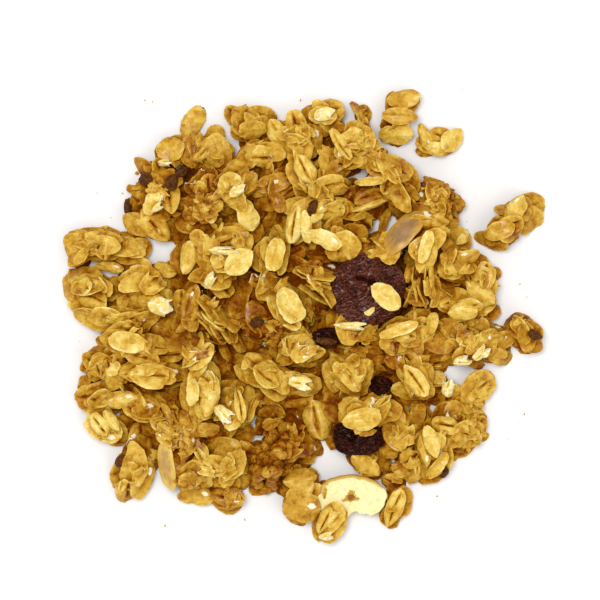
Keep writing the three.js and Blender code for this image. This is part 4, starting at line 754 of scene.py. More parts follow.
@functools.cache
def laid_pile():
    """The whole heap, laid in the same order as the solid model."""
    pile = Pile()
    for row in LOOSE:
        pile.lay_clusters([row], "below", row[0])
        pile.lay_clusters([row], "upper", row[0])
    for group, *row in LOOSE_FLAKES:
        pile.lay_rows([row], LARGE_FLAKE_THICKNESS, "large", group)
    pile.block_around(LOOSE_CLEARANCE)
    pile.lay_beds()
    pile.lay_clusters(LOWER + RIM + UPPER, "below")
    pile.lay_clusters(LOWER, "lower")
    for name, spot in RAISINS.items():
        pile.lay(spot, RESTS["raisin"], name, name)
    for name, spot in (("dried_fruit", FRUIT), ("banana_chip", BANANA)):
        pile.lay(spot, RESTS[name], name, name)
    pile.clear_of = [
        oval_of(FRUIT, inset=(1.0, 1.0)),
        oval_of(RAISINS["raisin_middle"]),
        oval_of(BANANA, inset=(0.6, 0.4), shift=(0.6, 0.8)),
    ]
    pile.lay_clusters(RIM, "rim")
    pile.lay_clusters(UPPER, "upper")
    pile.lay_balls(BALL_LUMP)
    pile.lay_rows(SEEDS, SEED_THICKNESS, "seed")
    pile.lay_rows(LARGE_FLAKES, LARGE_FLAKE_THICKNESS, "large")
    pile.lay_rows([(*row, 1) for row in CRUMPLES], CRUMPLE_THICKNESS, "crumple")
    for name, spot in COCONUTS.items():
        pile.lay(spot, RESTS["coconut_chip"], name, name)
    return pile


def piece_named(name):
    return next(piece for piece in laid_pile().placed if piece.layer == name)


# ---- shading ----
def srgb(code):
    """The linear colour of a six-digit screen colour."""
    parts = [int(code[i : i + 2], 16) / 255 for i in (0, 2, 4)]
    linear = [p / 12.92 if p <= 0.04045 else ((p + 0.055) / 1.055) ** 2.4 for p in parts]
    return (*linear, 1.0)


class Socket:
    """A shader socket that takes part in Python arithmetic."""

    def __init__(self, shader, link):
        self.shader = shader
        self.link = link

    def __add__(self, other):
        return self.shader.maths("ADD", self, other)

    __radd__ = __add__

    def __sub__(self, other):
        return self.shader.maths("SUBTRACT", self, other)

    def __rsub__(self, other):
        return self.shader.maths("SUBTRACT", other, self)

    def __mul__(self, other):
        return self.shader.maths("MULTIPLY", self, other)

    __rmul__ = __mul__

    def __pow__(self, other):
        return self.shader.maths("POWER", self, other)


class Shader:
    """A material whose nodes are added by name."""

    def __init__(self, name):
        self.material = bpy.data.materials.new(name)
        self.material.use_nodes = True
        self.tree = self.material.node_tree
        self.tree.nodes.clear()

    def node(self, kind, settings=None, sockets=None, output=0):
        """One node: its settings first, then the values or links of its sockets."""
        made = self.tree.nodes.new(kind)
        for key, value in (settings or {}).items():
            if key == "stops":
                self.set_stops(made.color_ramp, value)
            else:
                setattr(made, key, value)
        for key, value in (sockets or {}).items():
            if isinstance(value, Socket):
                self.tree.links.new(value.link, made.inputs[key])
            else:
                made.inputs[key].default_value = value
        return Socket(self, made.outputs[output]) if made.outputs else None

    @staticmethod
    def set_stops(ramp, stops):
        while len(ramp.elements) < len(stops):
            ramp.elements.new(0.5)
        for element, (position, color) in zip(ramp.elements, stops):
            element.position = position
            element.color = color

    def maths(self, operation, a, b, clamp=False):
        return self.node("ShaderNodeMath", {"operation": operation, "use_clamp": clamp}, {0: a, 1: b})

    def clamp(self, value):
        return self.maths("ADD", value, 0.0, clamp=True)

    def step(self, value, low, high):
        """0 below low, 1 above high, and a smooth rise between."""
        return self.node(
            "ShaderNodeMapRange",
            {"interpolation_type": "SMOOTHSTEP"},
            {"Value": value, "From Min": low, "From Max": high},
        )

    def mark(self, name):
        """A number kept on the mesh by vertex."""
        return self.node("ShaderNodeAttribute", {"attribute_name": name}, output="Fac")

    def object_mm(self, stretch=(1.0, 1.0, 1.0)):
        """Object coordinates in millimetres, each stretched by its own factor."""
        place = self.node("ShaderNodeTexCoord", output="Object")
        scale = tuple(s / MM for s in stretch)
        return self.node("ShaderNodeVectorMath", {"operation": "MULTIPLY"}, {0: place, 1: scale})

    def piece_mm(self, stretch=(1.0, 1.0, 1.0)):
        """Millimetres along and across each small piece, from its own map."""
        place = self.node("ShaderNodeUVMap", {"uv_map": "lie"})
        return self.node("ShaderNodeVectorMath", {"operation": "MULTIPLY"}, {0: place, 1: stretch})

    def noise(self, place, size, detail=2.0, roughness=0.5, distortion=0.0):
        """Smooth noise from 0 to 1 with features of a size in millimetres."""
        return self.node(
            "ShaderNodeTexNoise",
            {},
            {
                "Vector": place,
                "Scale": 1.0 / size,
                "Detail": detail,
                "Roughness": roughness,
                "Distortion": distortion,
            },
        )

    def ramp(self, value, stops):
        return self.node("ShaderNodeValToRGB", {"stops": stops}, {0: value})

    def mix(self, factor, a, b):
        """Colour a where the factor is 0 and colour b where it is 1."""
        return self.node("ShaderNodeMix", {"data_type": "RGBA"}, {0: factor, 6: a, 7: b}, output=2)

    def relief(self, height, depth):
        """A bump whose heights from 0 to 1 stand for a depth in millimetres."""
        return self.node("ShaderNodeBump", {}, {"Strength": 1.0, "Distance": depth * MM, "Height": height})

    def finish(self, **sockets):
        """The surface shader, with each socket named in plain words."""
        named = {key.replace("_", " ").title().replace("Ior", "IOR"): value for key, value in sockets.items()}
        surface = self.node("ShaderNodeBsdfPrincipled", {}, named, output="BSDF")
        self.node("ShaderNodeOutputMaterial", {}, {"Surface": surface})
        return self.material


# ---- moulds ----
# The shapes of flakes, in half sizes of the piece. Where a comment says nothing else, a pair gives
# the least and the most.
RAGGED = (0.13, 0.08)  # how uneven the outline is, broadly and finely
SLIMNESS = (0.72, 1.04)
POINTEDNESS = (0.65, 1.2)
NICKED_SHARE = 0.6  # share of the flakes with a nick in the rim
NICK_DEPTH = (0.08, 0.22)
NICK_WIDTH = 0.2
CREASED_SHARE = 0.6
CREASE_DEPTH = (0.8, 1.4)
FAINT_CREASE_DEPTH = (0.0, 0.3)
CREASE_WIDTH = 0.1
SWELL = (0.3, 0.06)  # unevenness of the faces, broad and fine
CRUMPLED_SWELL = (0.9, 0.45)  # the same for a crumpled bit
CURL_ALONG = (-1.3, 2.0)
CURL_ACROSS = (-1.2, 1.8)
TWIST = (-1.1, 1.1)
HOOK = (-0.5, 0.5)
BREAK_PLACE = (0.1, 0.4)
PATCH_REACH = 0.38  # reach of the pale starchy patch
COARSE = (12, 7)  # segments and rings of a flake
PLAIN = (24, 11)
FINE = (32, 17)


@dataclass
class Mould:
    """A small shape in half sizes of its piece, with marks by vertex."""

    points: np.ndarray
    triangles: np.ndarray
    marks: dict


def mould_of(points, triangles, rim=0.0, crease=0.0, starch=0.0):
    """A mould whose marks are numbers or arrays, kept between 0 and 1."""
    zeros = np.zeros(len(points))
    marks = {"rim": zeros + rim, "crease": zeros + crease, "starch": zeros + starch}
    return Mould(points, triangles, {key: np.clip(values, 0, 1) for key, values in marks.items()})


def arrays_of(bm):
    """Points and triangles of a bmesh, which is then freed."""
    bmesh.ops.triangulate(bm, faces=bm.faces)
    bm.verts.index_update()
    points = np.array([vert.co for vert in bm.verts])
    triangles = np.array([[vert.index for vert in face.verts] for face in bm.faces])
    bm.free()
    return points, triangles


def long_ball(segments, rings):
    """A round mesh whose poles lie at the two ends of x."""
    bm = bmesh.new()
    bmesh.ops.create_uvsphere(bm, u_segments=segments, v_segments=rings, radius=1)
    turn = Matrix.Rotation(math.pi / 2, 3, "Y")
    bmesh.ops.rotate(bm, verts=bm.verts, cent=(0, 0, 0), matrix=turn)
    return arrays_of(bm)


def even_ball(levels):
    bm = bmesh.new()
    bmesh.ops.create_icosphere(bm, subdivisions=levels, radius=1)
    return arrays_of(bm)


def rough(points, scale, seed):
    """Smooth noise from -1 to 1 at each point."""
    shift = Vector((seed * 3.7, seed * 1.9, seed * 5.3))
    return np.array([noise.noise(Vector(p) * scale + shift) for p in points])


def level_points(x, y):
    return np.column_stack((x, y, np.zeros_like(x)))


def signed_power(values, power):
    return np.sign(values) * np.abs(values) ** power


def flake_mould(seed, fineness=PLAIN, broken=False, crumpled=False, creased=None):
    """A rolled oat: a thin plate with a crisp edge, a crease along its upper face, and a curl."""
    points, triangles = long_ball(*fineness)
    dice = np.random.default_rng(seed)
    s = points[:, 0]
    ring = np.hypot(points[:, 1], points[:, 2])
    open_ring = np.maximum(ring, TINY)
    side = signed_power(np.where(ring > TINY, points[:, 1] / open_ring, 0), 1.8)
    up = np.where(ring > TINY, points[:, 2] / open_ring, 0)
    flat = level_points(s, side)
    ragged = RAGGED[0] * rough(flat, 1.8, seed) + RAGGED[1] * rough(flat, 5.0, seed + 50)
    slim = dice.uniform(*SLIMNESS)
    width = slim * ring ** dice.uniform(*POINTEDNESS) * (1 + 0.16 * dice.uniform(-1, 1) * s)
    nick = dice.uniform(*NICK_DEPTH) if dice.random() < NICKED_SHARE else 0.0
    turn = np.abs(np.arctan2(side, s) - dice.uniform(-3, 3))
    nick = nick * np.exp(-((turn / NICK_WIDTH) ** 2)) * ring
    x = s * (1 + 0.7 * ragged - nick)
    y = side * width * (1 + ragged - nick)
    wave = dice.uniform(-0.06, 0.06) + 0.07 * np.sin(2.2 * s + dice.uniform(0, 6))
    upper = np.clip(up * 4, 0, 1)
    groove = np.exp(-(((side - wave) / CREASE_WIDTH) ** 2)) * np.clip(1.3 * ring, 0, 1)
    groove *= np.clip(2.2 - 2.5 * np.abs(s - dice.uniform(-0.25, 0.25)), 0, 1)
    creased = dice.random() < CREASED_SHARE if creased is None else creased
    cleft = dice.uniform(*(CREASE_DEPTH if creased else FAINT_CREASE_DEPTH))
    lobes = (1 - (2 * np.abs(side) - 1) ** 2) * ring
    z = 0.6 * signed_power(up, 0.35) * (0.55 + 0.45 * ring)
    z += upper * (0.45 * lobes * cleft - cleft * groove)
    broad, fine = CRUMPLED_SWELL if crumpled else SWELL
    z += broad * rough(flat, 1.9, seed + 90) + fine * rough(flat, 5.5, seed + 120)
    z += dice.uniform(*CURL_ALONG) * s**2 + dice.uniform(*CURL_ACROSS) * side**2
    z += dice.uniform(*TWIST) * s * side + dice.uniform(*HOOK) * s**3
    if crumpled:
        z = 0.5 * z + 2.2 - 1.2 * (s**2 + side**2)
    torn = np.zeros_like(x)
    if broken:
        edge = dice.uniform(*BREAK_PLACE) + 0.2 * np.sin(5 * y + dice.uniform(0, 6))
        edge = edge + 0.14 * rough(flat, 6, seed)
        torn = np.clip((x - edge + 0.1) / 0.2, 0, 1)
        x = np.minimum(x, edge)
        middle = (x.max() + x.min()) / 2
        x = (x - middle) / (x.max() - middle)
    patch = np.hypot(s - dice.uniform(-0.6, 0.6), side - dice.uniform(-0.6, 0.6))
    patch = np.clip(1.2 - patch / PATCH_REACH, 0, 1)
    if crumpled:
        patch = np.clip(0.55 + 1.4 * rough(flat, 3.0, seed + 11), 0, 1)
    return mould_of(
        np.column_stack((x, y, z)),
        triangles,
        # The rim mark feeds a painted highlight at the edge, and the crease mark feeds painted shade in the
        # groove.
        rim=(np.maximum(np.abs(side), np.abs(s) ** 1.3) - 0.86) / 0.14,
        crease=groove * upper * min(1, cleft),
        starch=0.7 * torn * upper + patch,
    )


def flipped(mould):
    """The same flake lying on its other face."""
    return Mould(mould.points * (1, -1, -1), mould.triangles, mould.marks)


def chip_mould(seed):
    """A broken bit with flat faces, cut from a ball by planes."""
    points, triangles = even_ball(2)
    dice = np.random.default_rng(seed)
    points = points * (1 + 0.25 * rough(points, 1.6, seed))[:, None]
    for _ in range(5):
        cut = dice.normal(size=3)
        cut /= np.linalg.norm(cut)
        depth = dice.uniform(0.35, 0.75)
        points -= cut * np.maximum(0, points @ cut - depth)[:, None]
    return mould_of(points, triangles, rim=0.35, starch=rough(points, 1.5, seed + 9) * 2.5)


def ball_mould(seed):
    """A crisp cereal ball: round with dimples and small knobs."""
    points, triangles = even_ball(4)
    knobs = rough(points, 4.2, seed + 20)
    pits = np.clip(rough(points, 2.0, seed + 40) - 0.3, 0, 1)
    swell = 0.1 * rough(points, 1.3, seed) + 0.03 * knobs
    # Its rim mark makes the knobs paler as a painted highlight, and its crease mark darkens the pits as
    # painted shade.
    return mould_of(points * (1 + swell - 0.2 * pits)[:, None], triangles, rim=knobs, crease=pits * 3)


def seed_mould(seed):
    """A dark shrivelled seed with a pitted skin, blunter at one end."""
    points, triangles = even_ball(4)
    taper = 1 - 0.1 * (points[:, 0] + 1) ** 2 / 2
    shaped = points * np.column_stack((np.ones_like(taper), taper, taper))
    shaped *= (1 + 0.3 * rough(points, 1.4, seed) + 0.14 * rough(points, 4.0, seed + 5))[:, None]
    return mould_of(shaped, triangles, crease=rough(points, 3, seed) * 2)


# ---- meshes ----
SHARP_ANGLE = 38 * DEGREE
LEAST_LEVEL = 0.02  # nothing dips below the floor
LIE_STEP = np.array((7.3, 3.1))  # the grain of each small piece starts elsewhere


def object_from(name, points, triangles, marks=None, lie=None):
    """A smooth object from points in millimetres, with its marks and its map."""
    mesh = bpy.data.meshes.new(name)
    mesh.vertices.add(len(points))
    mesh.vertices.foreach_set("co", (points * MM).ravel())
    mesh.loops.add(triangles.size)
    mesh.loops.foreach_set("vertex_index", triangles.ravel())
    mesh.polygons.add(len(triangles))
    mesh.polygons.foreach_set("loop_start", np.arange(0, triangles.size, 3))
    mesh.update(calc_edges=True)
    for key, values in (marks or {}).items():
        mesh.attributes.new(key, "FLOAT", "POINT").data.foreach_set("value", values.astype(np.float32))
    if lie is not None:
        layer = mesh.uv_layers.new(name="lie")
        layer.data.foreach_set("uv", lie[triangles.ravel()].ravel())
    mesh.shade_smooth()
    mesh.set_sharp_from_angle(angle=SHARP_ANGLE)
    made = bpy.data.objects.new(name, mesh)
    bpy.context.scene.collection.objects.link(made)
    return made


def placed_points(mould, piece):
    """The points of a mould at its piece's place, in millimetres."""
    return mould.points * (np.array(piece.size) / 2) @ piece.axes + piece.place


def joined(name, entries):
    """One object of many small pieces. An entry is a mould, a piece and its share of starch."""
    points, triangles, lie = [], [], []
    marks = {"tone": [], "rim": [], "crease": [], "starch": []}
    count = 0
    for number, (mould, piece, starch) in enumerate(entries):
        points.append(placed_points(mould, piece))
        triangles.append(mould.triangles + count)
        lie.append(mould.points[:, :2] * piece.size[:2] / 2 + LIE_STEP * number)
        own = {**mould.marks, "tone": np.full(len(mould.points), piece.tone)}
        own["starch"] = own["starch"] * starch
        for key, values in own.items():
            marks[key].append(values)
        count += len(mould.points)
    whole = np.concatenate(points)
    whole[:, 2] = np.maximum(whole[:, 2], LEAST_LEVEL)
    marks = {key: np.concatenate(values) for key, values in marks.items()}
    # Painted shade: the shelter becomes the hollow mark, which darkens the oats in the gaps of the heap.
    marks["hollow"] = shelter(whole)
    return object_from(name, whole, np.concatenate(triangles), marks, np.concatenate(lie))


def dress(piece, material, node):
    """Gives a finished piece its material and the body that it moves with, and hides the solid that it stands
    for.
    """
    piece.data.materials.append(material)
    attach(piece, "root")
    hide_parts(node)


# ---- finishes ----
def oat_material(name, colours, shift=0.0, gloss=0.42):
    """Toasted oat: honey gold, with a painted highlight at the rim, painted shade in the creases and in the
    heap's gaps, and starchy white where torn.
    """
    shader = Shader(name)
    grain = shader.noise(shader.piece_mm((0.35, 1.7, 1.0)), 0.9, detail=3.0)
    cloud = shader.noise(shader.object_mm(), 3.2, detail=2.0)
    blotch = shader.noise(shader.object_mm(), 1.5, detail=3.0, distortion=0.5)
    speck = shader.noise(shader.object_mm(), 0.55, detail=2.0)
    tone = shader.mark("tone") + shift
    lightness = tone * 0.72 + 0.18 + 0.7 * (cloud - 0.5) + 0.75 * (blotch - 0.5) + 0.2 * (grain - 0.5)
    # Painted highlight: the rim mark makes each oat paler at its edge. Painted shade: the crease mark darkens
    # its groove.
    lightness = lightness + 0.3 * (speck - 0.5) + 0.16 * shader.mark("rim") - 0.4 * shader.mark("crease")
    lightness = lightness - 0.3 * shader.step(speck, 0.66, 0.76)
    # Painted shade: the hollow mark darkens the oats where the heap closes in round them, and takes their
    # gloss away there.
    hollow = shader.mark("hollow")
    lightness = lightness - 0.45 * hollow
    stops = [
        (0.0, colours.burnt),
        (0.22, colours.toast),
        (0.45, colours.honey),
        (0.7, colours.gold),
        (0.95, colours.pale),
    ]
    colour = shader.ramp(lightness, stops)
    torn = shader.step(shader.mark("starch") + 0.5 * (speck - 0.5) + 0.35 * (grain - 0.5), 0.45, 0.75)
    colour = shader.mix(torn, colour, colours.starch)
    height = grain * 0.3 + speck * 0.4 + blotch * 1.5
    return shader.finish(
        base_color=colour,
        roughness=0.4 + 0.3 * (speck - 0.5) + 0.25 * torn,
        normal=shader.relief(height, 0.35),
        specular_ior_level=0.3,
        specular_tint=colours.honey,
        coat_weight=shader.clamp(gloss - gloss * 2.0 * hollow),
        coat_roughness=0.18,
        subsurface_weight=0.08,
        subsurface_radius=(0.9 * MM, 0.5 * MM, 0.15 * MM),
        subsurface_scale=1.0,
    )


def core_material(colours):
    """Dark crumb for what lies deep between the oats, coloured as painted shade."""
    shader = Shader("toasted_crumb")
    lump = shader.noise(shader.object_mm(), 1.6, detail=4.0, roughness=0.6)
    colour = shader.ramp(lump, [(0.3, colours.burnt), (0.7, colours.toast)])
    return shader.finish(base_color=colour, roughness=0.7, normal=shader.relief(lump, 0.8))


def fruit_material(name, skin, light, painted_glint, painted_glint_share, shine):
    """Shrivelled dark fruit: leathery and finely wrinkled, with painted shade in its folds, a painted
    highlight on its ridges and small painted glints.
    """
    shader = Shader(name)
    fold = shader.noise(shader.object_mm(), 0.85, detail=4.0, roughness=0.6, distortion=0.6)
    fine = shader.noise(shader.object_mm((0.6, 1.7, 1.0)), 0.45, detail=3.0, distortion=0.8)
    patch = shader.noise(shader.object_mm(), 4.5, detail=1.0)
    depth = shader.mark("crease")
    # Painted shade and highlight: the skin is lighter where its bump rises and darker in the folds and
    # wrinkles that the crease mark holds.
    lightness = 0.47 + 1.0 * (fold - 0.5) + 1.9 * (fine - 0.5) + 0.4 * (patch - 0.5) - 0.5 * depth
    colour = shader.ramp(lightness, [(0.3, skin), (0.7, light)])
    # Painted glints: small pale specks on the ridges, kept out of the folds.
    painted_glint_mask = shader.step(fine + 0.4 * (patch - 0.5), 0.62, 0.68) * painted_glint_share
    colour = shader.mix(shader.clamp(painted_glint_mask - depth), colour, painted_glint)
    return shader.finish(
        base_color=colour,
        roughness=0.24 + 0.3 * fold,
        normal=shader.relief(fold * 0.9 + fine * 1.1, 1.9),
        specular_ior_level=0.4,
        specular_tint=light,
        coat_weight=shine,
        coat_roughness=0.16,
    )


def banana_material(colours):
    """Dried banana: cream flesh, a browned rim on one side and the brown star of its seeds."""
    shader = Shader("banana_chip")
    place = shader.piece_mm()
    along, across = (shader.node("ShaderNodeSeparateXYZ", {}, {0: place}, output=axis) for axis in "XY")
    mottle = shader.noise(place, 1.4, detail=3.0)
    fine = shader.noise(place, 0.4, detail=3.0)
    radius = (along * along * 0.75 + across * across * 1.2) ** 0.5
    star = 1 - shader.step(radius - 0.8 * shader.mark("arms") + 2.4 * (fine - 0.5), 1.0, 1.4)
    middle = 1 - shader.step(radius + 1.4 * (fine - 0.5), 0.6, 1.0)
    stain = shader.step(mottle, 0.62, 0.72) * 0.35
    browned = shader.step(shader.mark("rim") + 0.6 * (mottle - 0.5), 0.5, 0.95)
    # Partly painted shade: the flesh is mottled, and deeper in tone where the mottling also lowers the bump
    # into hollows.
    colour = shader.ramp(mottle, [(0.3, colours.flesh_deep), (0.5, colours.flesh)])
    colour = shader.mix(stain, colour, colours.star)
    colour = shader.mix(star * 0.97, colour, colours.star)
    colour = shader.mix(middle * 0.9, colour, colours.star_deep)
    colour = shader.mix(browned * 0.9, colour, colours.star)
    return shader.finish(
        base_color=colour,
        roughness=0.55 + 0.2 * (fine - 0.5),
        normal=shader.relief(mottle * 0.5 + fine * 0.5 + star * 0.3, 0.25),
        specular_ior_level=0.25,
        subsurface_weight=0.15,
        subsurface_radius=(1.2 * MM, 0.9 * MM, 0.5 * MM),
        subsurface_scale=1.0,
    )


def coconut_material(name, light, deep, rim):
    """A thin toasted chip of coconut, horny in the middle and gold at its edges."""
    shader = Shader(name)
    grain = shader.noise(shader.piece_mm((0.3, 2.2, 1.0)), 0.9, detail=3.0)
    cloud = shader.noise(shader.object_mm(), 2.0, detail=2.0)
    edge = shader.step(shader.mark("rim") + 1.2 * (cloud - 0.5) + 0.5 * (grain - 0.5), 0.0, 1.0)
    colour = shader.ramp(grain * 0.4 + cloud * 0.6, [(0.3, deep), (0.62, light)])
    colour = shader.mix(edge, colour, rim)
    return shader.finish(
        base_color=colour,
        roughness=0.32 + 0.25 * cloud,
        normal=shader.relief(grain, 0.18),
        coat_weight=0.3,
        coat_roughness=0.2,
    )


def seed_material(colours):
    """The skin of a dark seed."""
    shader = Shader("dark_seed")
    skin = shader.noise(shader.object_mm(), 0.7, detail=3.0)
    # Partly painted shade: the skin is mottled, and darker where the same noise lowers the bump into hollows.
    colour = shader.ramp(skin, [(0.3, colours.seed_deep), (0.75, colours.seed)])
    return shader.finish(
        base_color=colour,
        roughness=0.35 + 0.2 * skin,
        normal=shader.relief(skin, 0.2),
        specular_ior_level=0.3,
        specular_tint=colours.honey,
    )


def floor_material(colour, speckled):
    """A matt pale surface with a faint change of tone."""
    shader = Shader("pale_floor")
    speckle = shader.noise(shader.object_mm(), 40.0, detail=2.0)
    return shader.finish(
        base_color=shader.mix(speckle * 0.04, colour, speckled),
        roughness=0.75,
    )


# ---- pieces ----
SKIN_SPREAD = 2  # cells by which the oats' points are widened into a closed skin
SKIN_TRIM = 1  # cells by which that skin is then drawn in again
SHELTER_WAYS = 12  # directions in which the shelter of a point is looked for
SHELTER_REACHES = (0.5, 0.9, 1.5, 2.4, 4.0, 6.5)
SHELTER_SLACK = 0.15  # a neighbour no higher than this gives no shelter
OAT_SEED = 77
BROKEN_BELOW = 6.6  # an oat shorter than this is a broken one
BROKEN_STARCH = 2.5  # how much more often a broken one is starchy
SHARD = dict(seed=55, lengths=(2.6, 5.4), thickness=(0.7, 1.1))
CRUST = dict(seed=56, lengths=(1.2, 3.4), thickness=(0.5, 0.9))
BIT_TILT = 0.8
BIT_WIDTH = (0.4, 0.8)  # of a bit, as a share of its length
BIT_TONE_SPREAD = 0.25
BIT_SHARE = 0.5
BIT_SINK = 0.35
CORE_HALF = 60.0
CORE_CELL = 1.5
CORE_REACH = 2.0  # how far round a point the core stays under the lowest oat
CORE_LEAST = 1.0  # where the oats leave less room than this, the core ends
CORE_LEVELS = (0.3, 0.6)  # its underside and its lowest top
CORE_LUMPS = 0.5  # how high the lumps of its top are
CORE_GRAIN = (0.35, 0.9)  # how close together they are, broadly and finely
# Painted shade darkens the fold and the wrinkles through the crease mark.
FOLD_WIDTH = 0.55  # half width of the dark fold across the dried fruit
FOLD_DEPTH = 1.6  # its depth and that of the wrinkles, before each fruit's own factor
WRINKLE_WIDTH = 0.13
WRINKLE_DEPTH = 0.45
CRUMB_SEED = 4242
CRUMB_SIZE = (0.25, 0.6)
CRUMB_SHAPE = (1.4, 1, 0.6)
CRUMB_TONE = (0.2, 0.8)
CRUMB_CLEARANCE = 1  # how far a crumb lies from the heap at least


def widened(values, reach, pick):
    """Each cell takes the pick, such as the largest, of its neighbours within a reach in both directions."""
    for axis in (0, 1):
        values = functools.reduce(pick, (np.roll(values, step, axis) for step in range(-reach, reach + 1)))
    return values


def skin_cells(x, y):
    """Rows and columns of points in the map of the heap's skin."""
    cells = (np.array((y, x)) + MAP_HALF) * SKIN_SPLIT / MAP_CELL
    return tuple(np.clip(cells, 0, SKIN_SPLIT * CELLS - 1).astype(int))


@functools.cache
def heap_skin():
    """The level of what shows from above, cell by cell, from the meshes of the oats."""
    pile = laid_pile()
    toppings = [number for number, piece in enumerate(pile.placed) if piece.layer not in OAT_LAYERS]
    skin = np.where(np.isin(pile.owner, toppings), pile.height, 0)
    skin = skin.repeat(SKIN_SPLIT, axis=0).repeat(SKIN_SPLIT, axis=1)
    for entries in oat_objects().values():
        for mould, piece, _ in entries:
            placed = placed_points(mould, piece)
            np.maximum.at(skin, skin_cells(placed[:, 0], placed[:, 1]), placed[:, 2])
    return widened(widened(skin, SKIN_SPREAD, np.maximum), SKIN_TRIM, np.minimum)


def shelter(points):
    """How closely the heap closes in round each point, from 0 in the open to 1 in a deep gap."""
    skin = heap_skin()
    closed = np.zeros(len(points))
    for angle in np.arange(SHELTER_WAYS) * math.pi / (SHELTER_WAYS / 2):
        steepest = np.zeros(len(points))
        for reach in SHELTER_REACHES:
            cells = skin_cells(points[:, 0] + reach * math.cos(angle), points[:, 1] + reach * math.sin(angle))
            steepest = np.maximum(steepest, (skin[cells] - points[:, 2] - SHELTER_SLACK) / reach)
        closed += steepest**2 / (1 + steepest**2) / SHELTER_WAYS
    return closed


@functools.cache
def mould_sets():
    """Moulds for each kind of oat, lying on either face, and creased ones that keep the crease up."""
    sets = {
        "whole": [flake_mould(seed) for seed in range(1, 13)],
        "broken": [flake_mould(seed, broken=True) for seed in range(31, 38)],
        "coarse": [flake_mould(seed, COARSE) for seed in range(61, 66)],
        "large": [flake_mould(seed, FINE, creased=False) for seed in range(81, 91)],
        "shard": [flake_mould(seed, COARSE, broken=True) for seed in range(131, 139)],
    }
    sets = {key: moulds + [flipped(mould) for mould in moulds] for key, moulds in sets.items()}
    return {**sets, "creased": [flake_mould(seed, FINE, creased=True) for seed in range(111, 117)]}


def oat_entries(pieces, starchy):
    """A mould for each oat: broken ones for the short, coarse ones for those that lie deep."""
    dice = Dice(OAT_SEED)
    entries = []
    for piece in pieces:
        kind = "whole" if piece.size[0] > BROKEN_BELOW else "broken"
        if piece.layer in ("bed", "below"):
            kind = "coarse"
        if piece.layer == "large":
            face_up = any(math.hypot(piece.x - x, piece.y - y) < CREASE_REACH for x, y in CREASED)
            kind = "creased" if face_up else "large"
        moulds = mould_sets()[kind]
        mould = moulds[int(dice.roll() * len(moulds))]
        starch = 1.0 if dice.roll() < starchy * (BROKEN_STARCH if kind == "broken" else 1) else 0.0
        entries.append((mould, piece, starch))
    return entries


def strewn(pile, layer, rows, count, seed, lengths, thickness):
    """Broken bits strewn over areas of the heap, each sunk a little between the oats."""
    dice = Dice(seed)
    bits = []
    while len(bits) < count:
        x0, y0, half_length, half_width, heading, tone = rows[int(dice.roll() * len(rows))]
        a = half_length * dice.spread()
        b = half_width * dice.spread()
        x, y = turned(x0, y0, a, b, heading * DEGREE)
        length = dice.between(*lengths)
        size = (length, length * dice.between(*BIT_WIDTH), dice.between(*thickness))
        axes = axes_of(BIT_TILT * dice.spread(), BIT_TILT * dice.spread(), dice.between(0, math.pi))
        shade = tone + BIT_TONE_SPREAD * dice.spread()
        on = pile.owner[cell_of(y), cell_of(x)]
        if on < 0 or pile.kept_clear(x, y):
            continue
        if pile.placed[on].group != "heap" or pile.placed[on].layer in ("large", "crumple", "seed"):
            continue
        bits.append(pile.settle(Piece(layer, "bits", x, y, size, axes, shade, BIT_SHARE, BIT_SINK)))
    return bits


def core_object(pile, depth):
    """A low core that fills the heap behind the oats and leaves the bare gaps open."""
    count = round(2 * CORE_HALF / CORE_CELL)
    bm = bmesh.new()
    bmesh.ops.create_grid(bm, x_segments=count, y_segments=count, size=CORE_HALF)
    reach = round(CORE_REACH / MAP_CELL)
    tops = {}
    for vert in bm.verts:
        row = cell_of(vert.co.y)
        column = cell_of(vert.co.x)
        window = np.s_[row - reach : row + reach + 1, column - reach : column + reach + 1]
        lowest = 0 if (pile.owner[window] < 0).any() else pile.height[window].min()
        tops[vert] = max(0.0, lowest - depth)
    bare = [face for face in bm.faces if min(tops[vert] for vert in face.verts) < CORE_LEAST]
    bmesh.ops.delete(bm, geom=bare, context="FACES")
    for vert in bm.verts:
        lump = noise.noise(vert.co * CORE_GRAIN[0]) + 0.5 * noise.noise(vert.co * CORE_GRAIN[1])
        vert.co.z = max(CORE_LEVELS[1], tops[vert] + CORE_LUMPS * lump)
    raised = bmesh.ops.extrude_face_region(bm, geom=bm.faces[:], use_keep_orig=True)
    for vert in (item for item in raised["geom"] if isinstance(item, bmesh.types.BMVert)):
        vert.co.z = CORE_LEVELS[0]
    bmesh.ops.recalc_face_normals(bm, faces=bm.faces)
    points, triangles = arrays_of(bm)
    return object_from("heap_core", points, triangles)


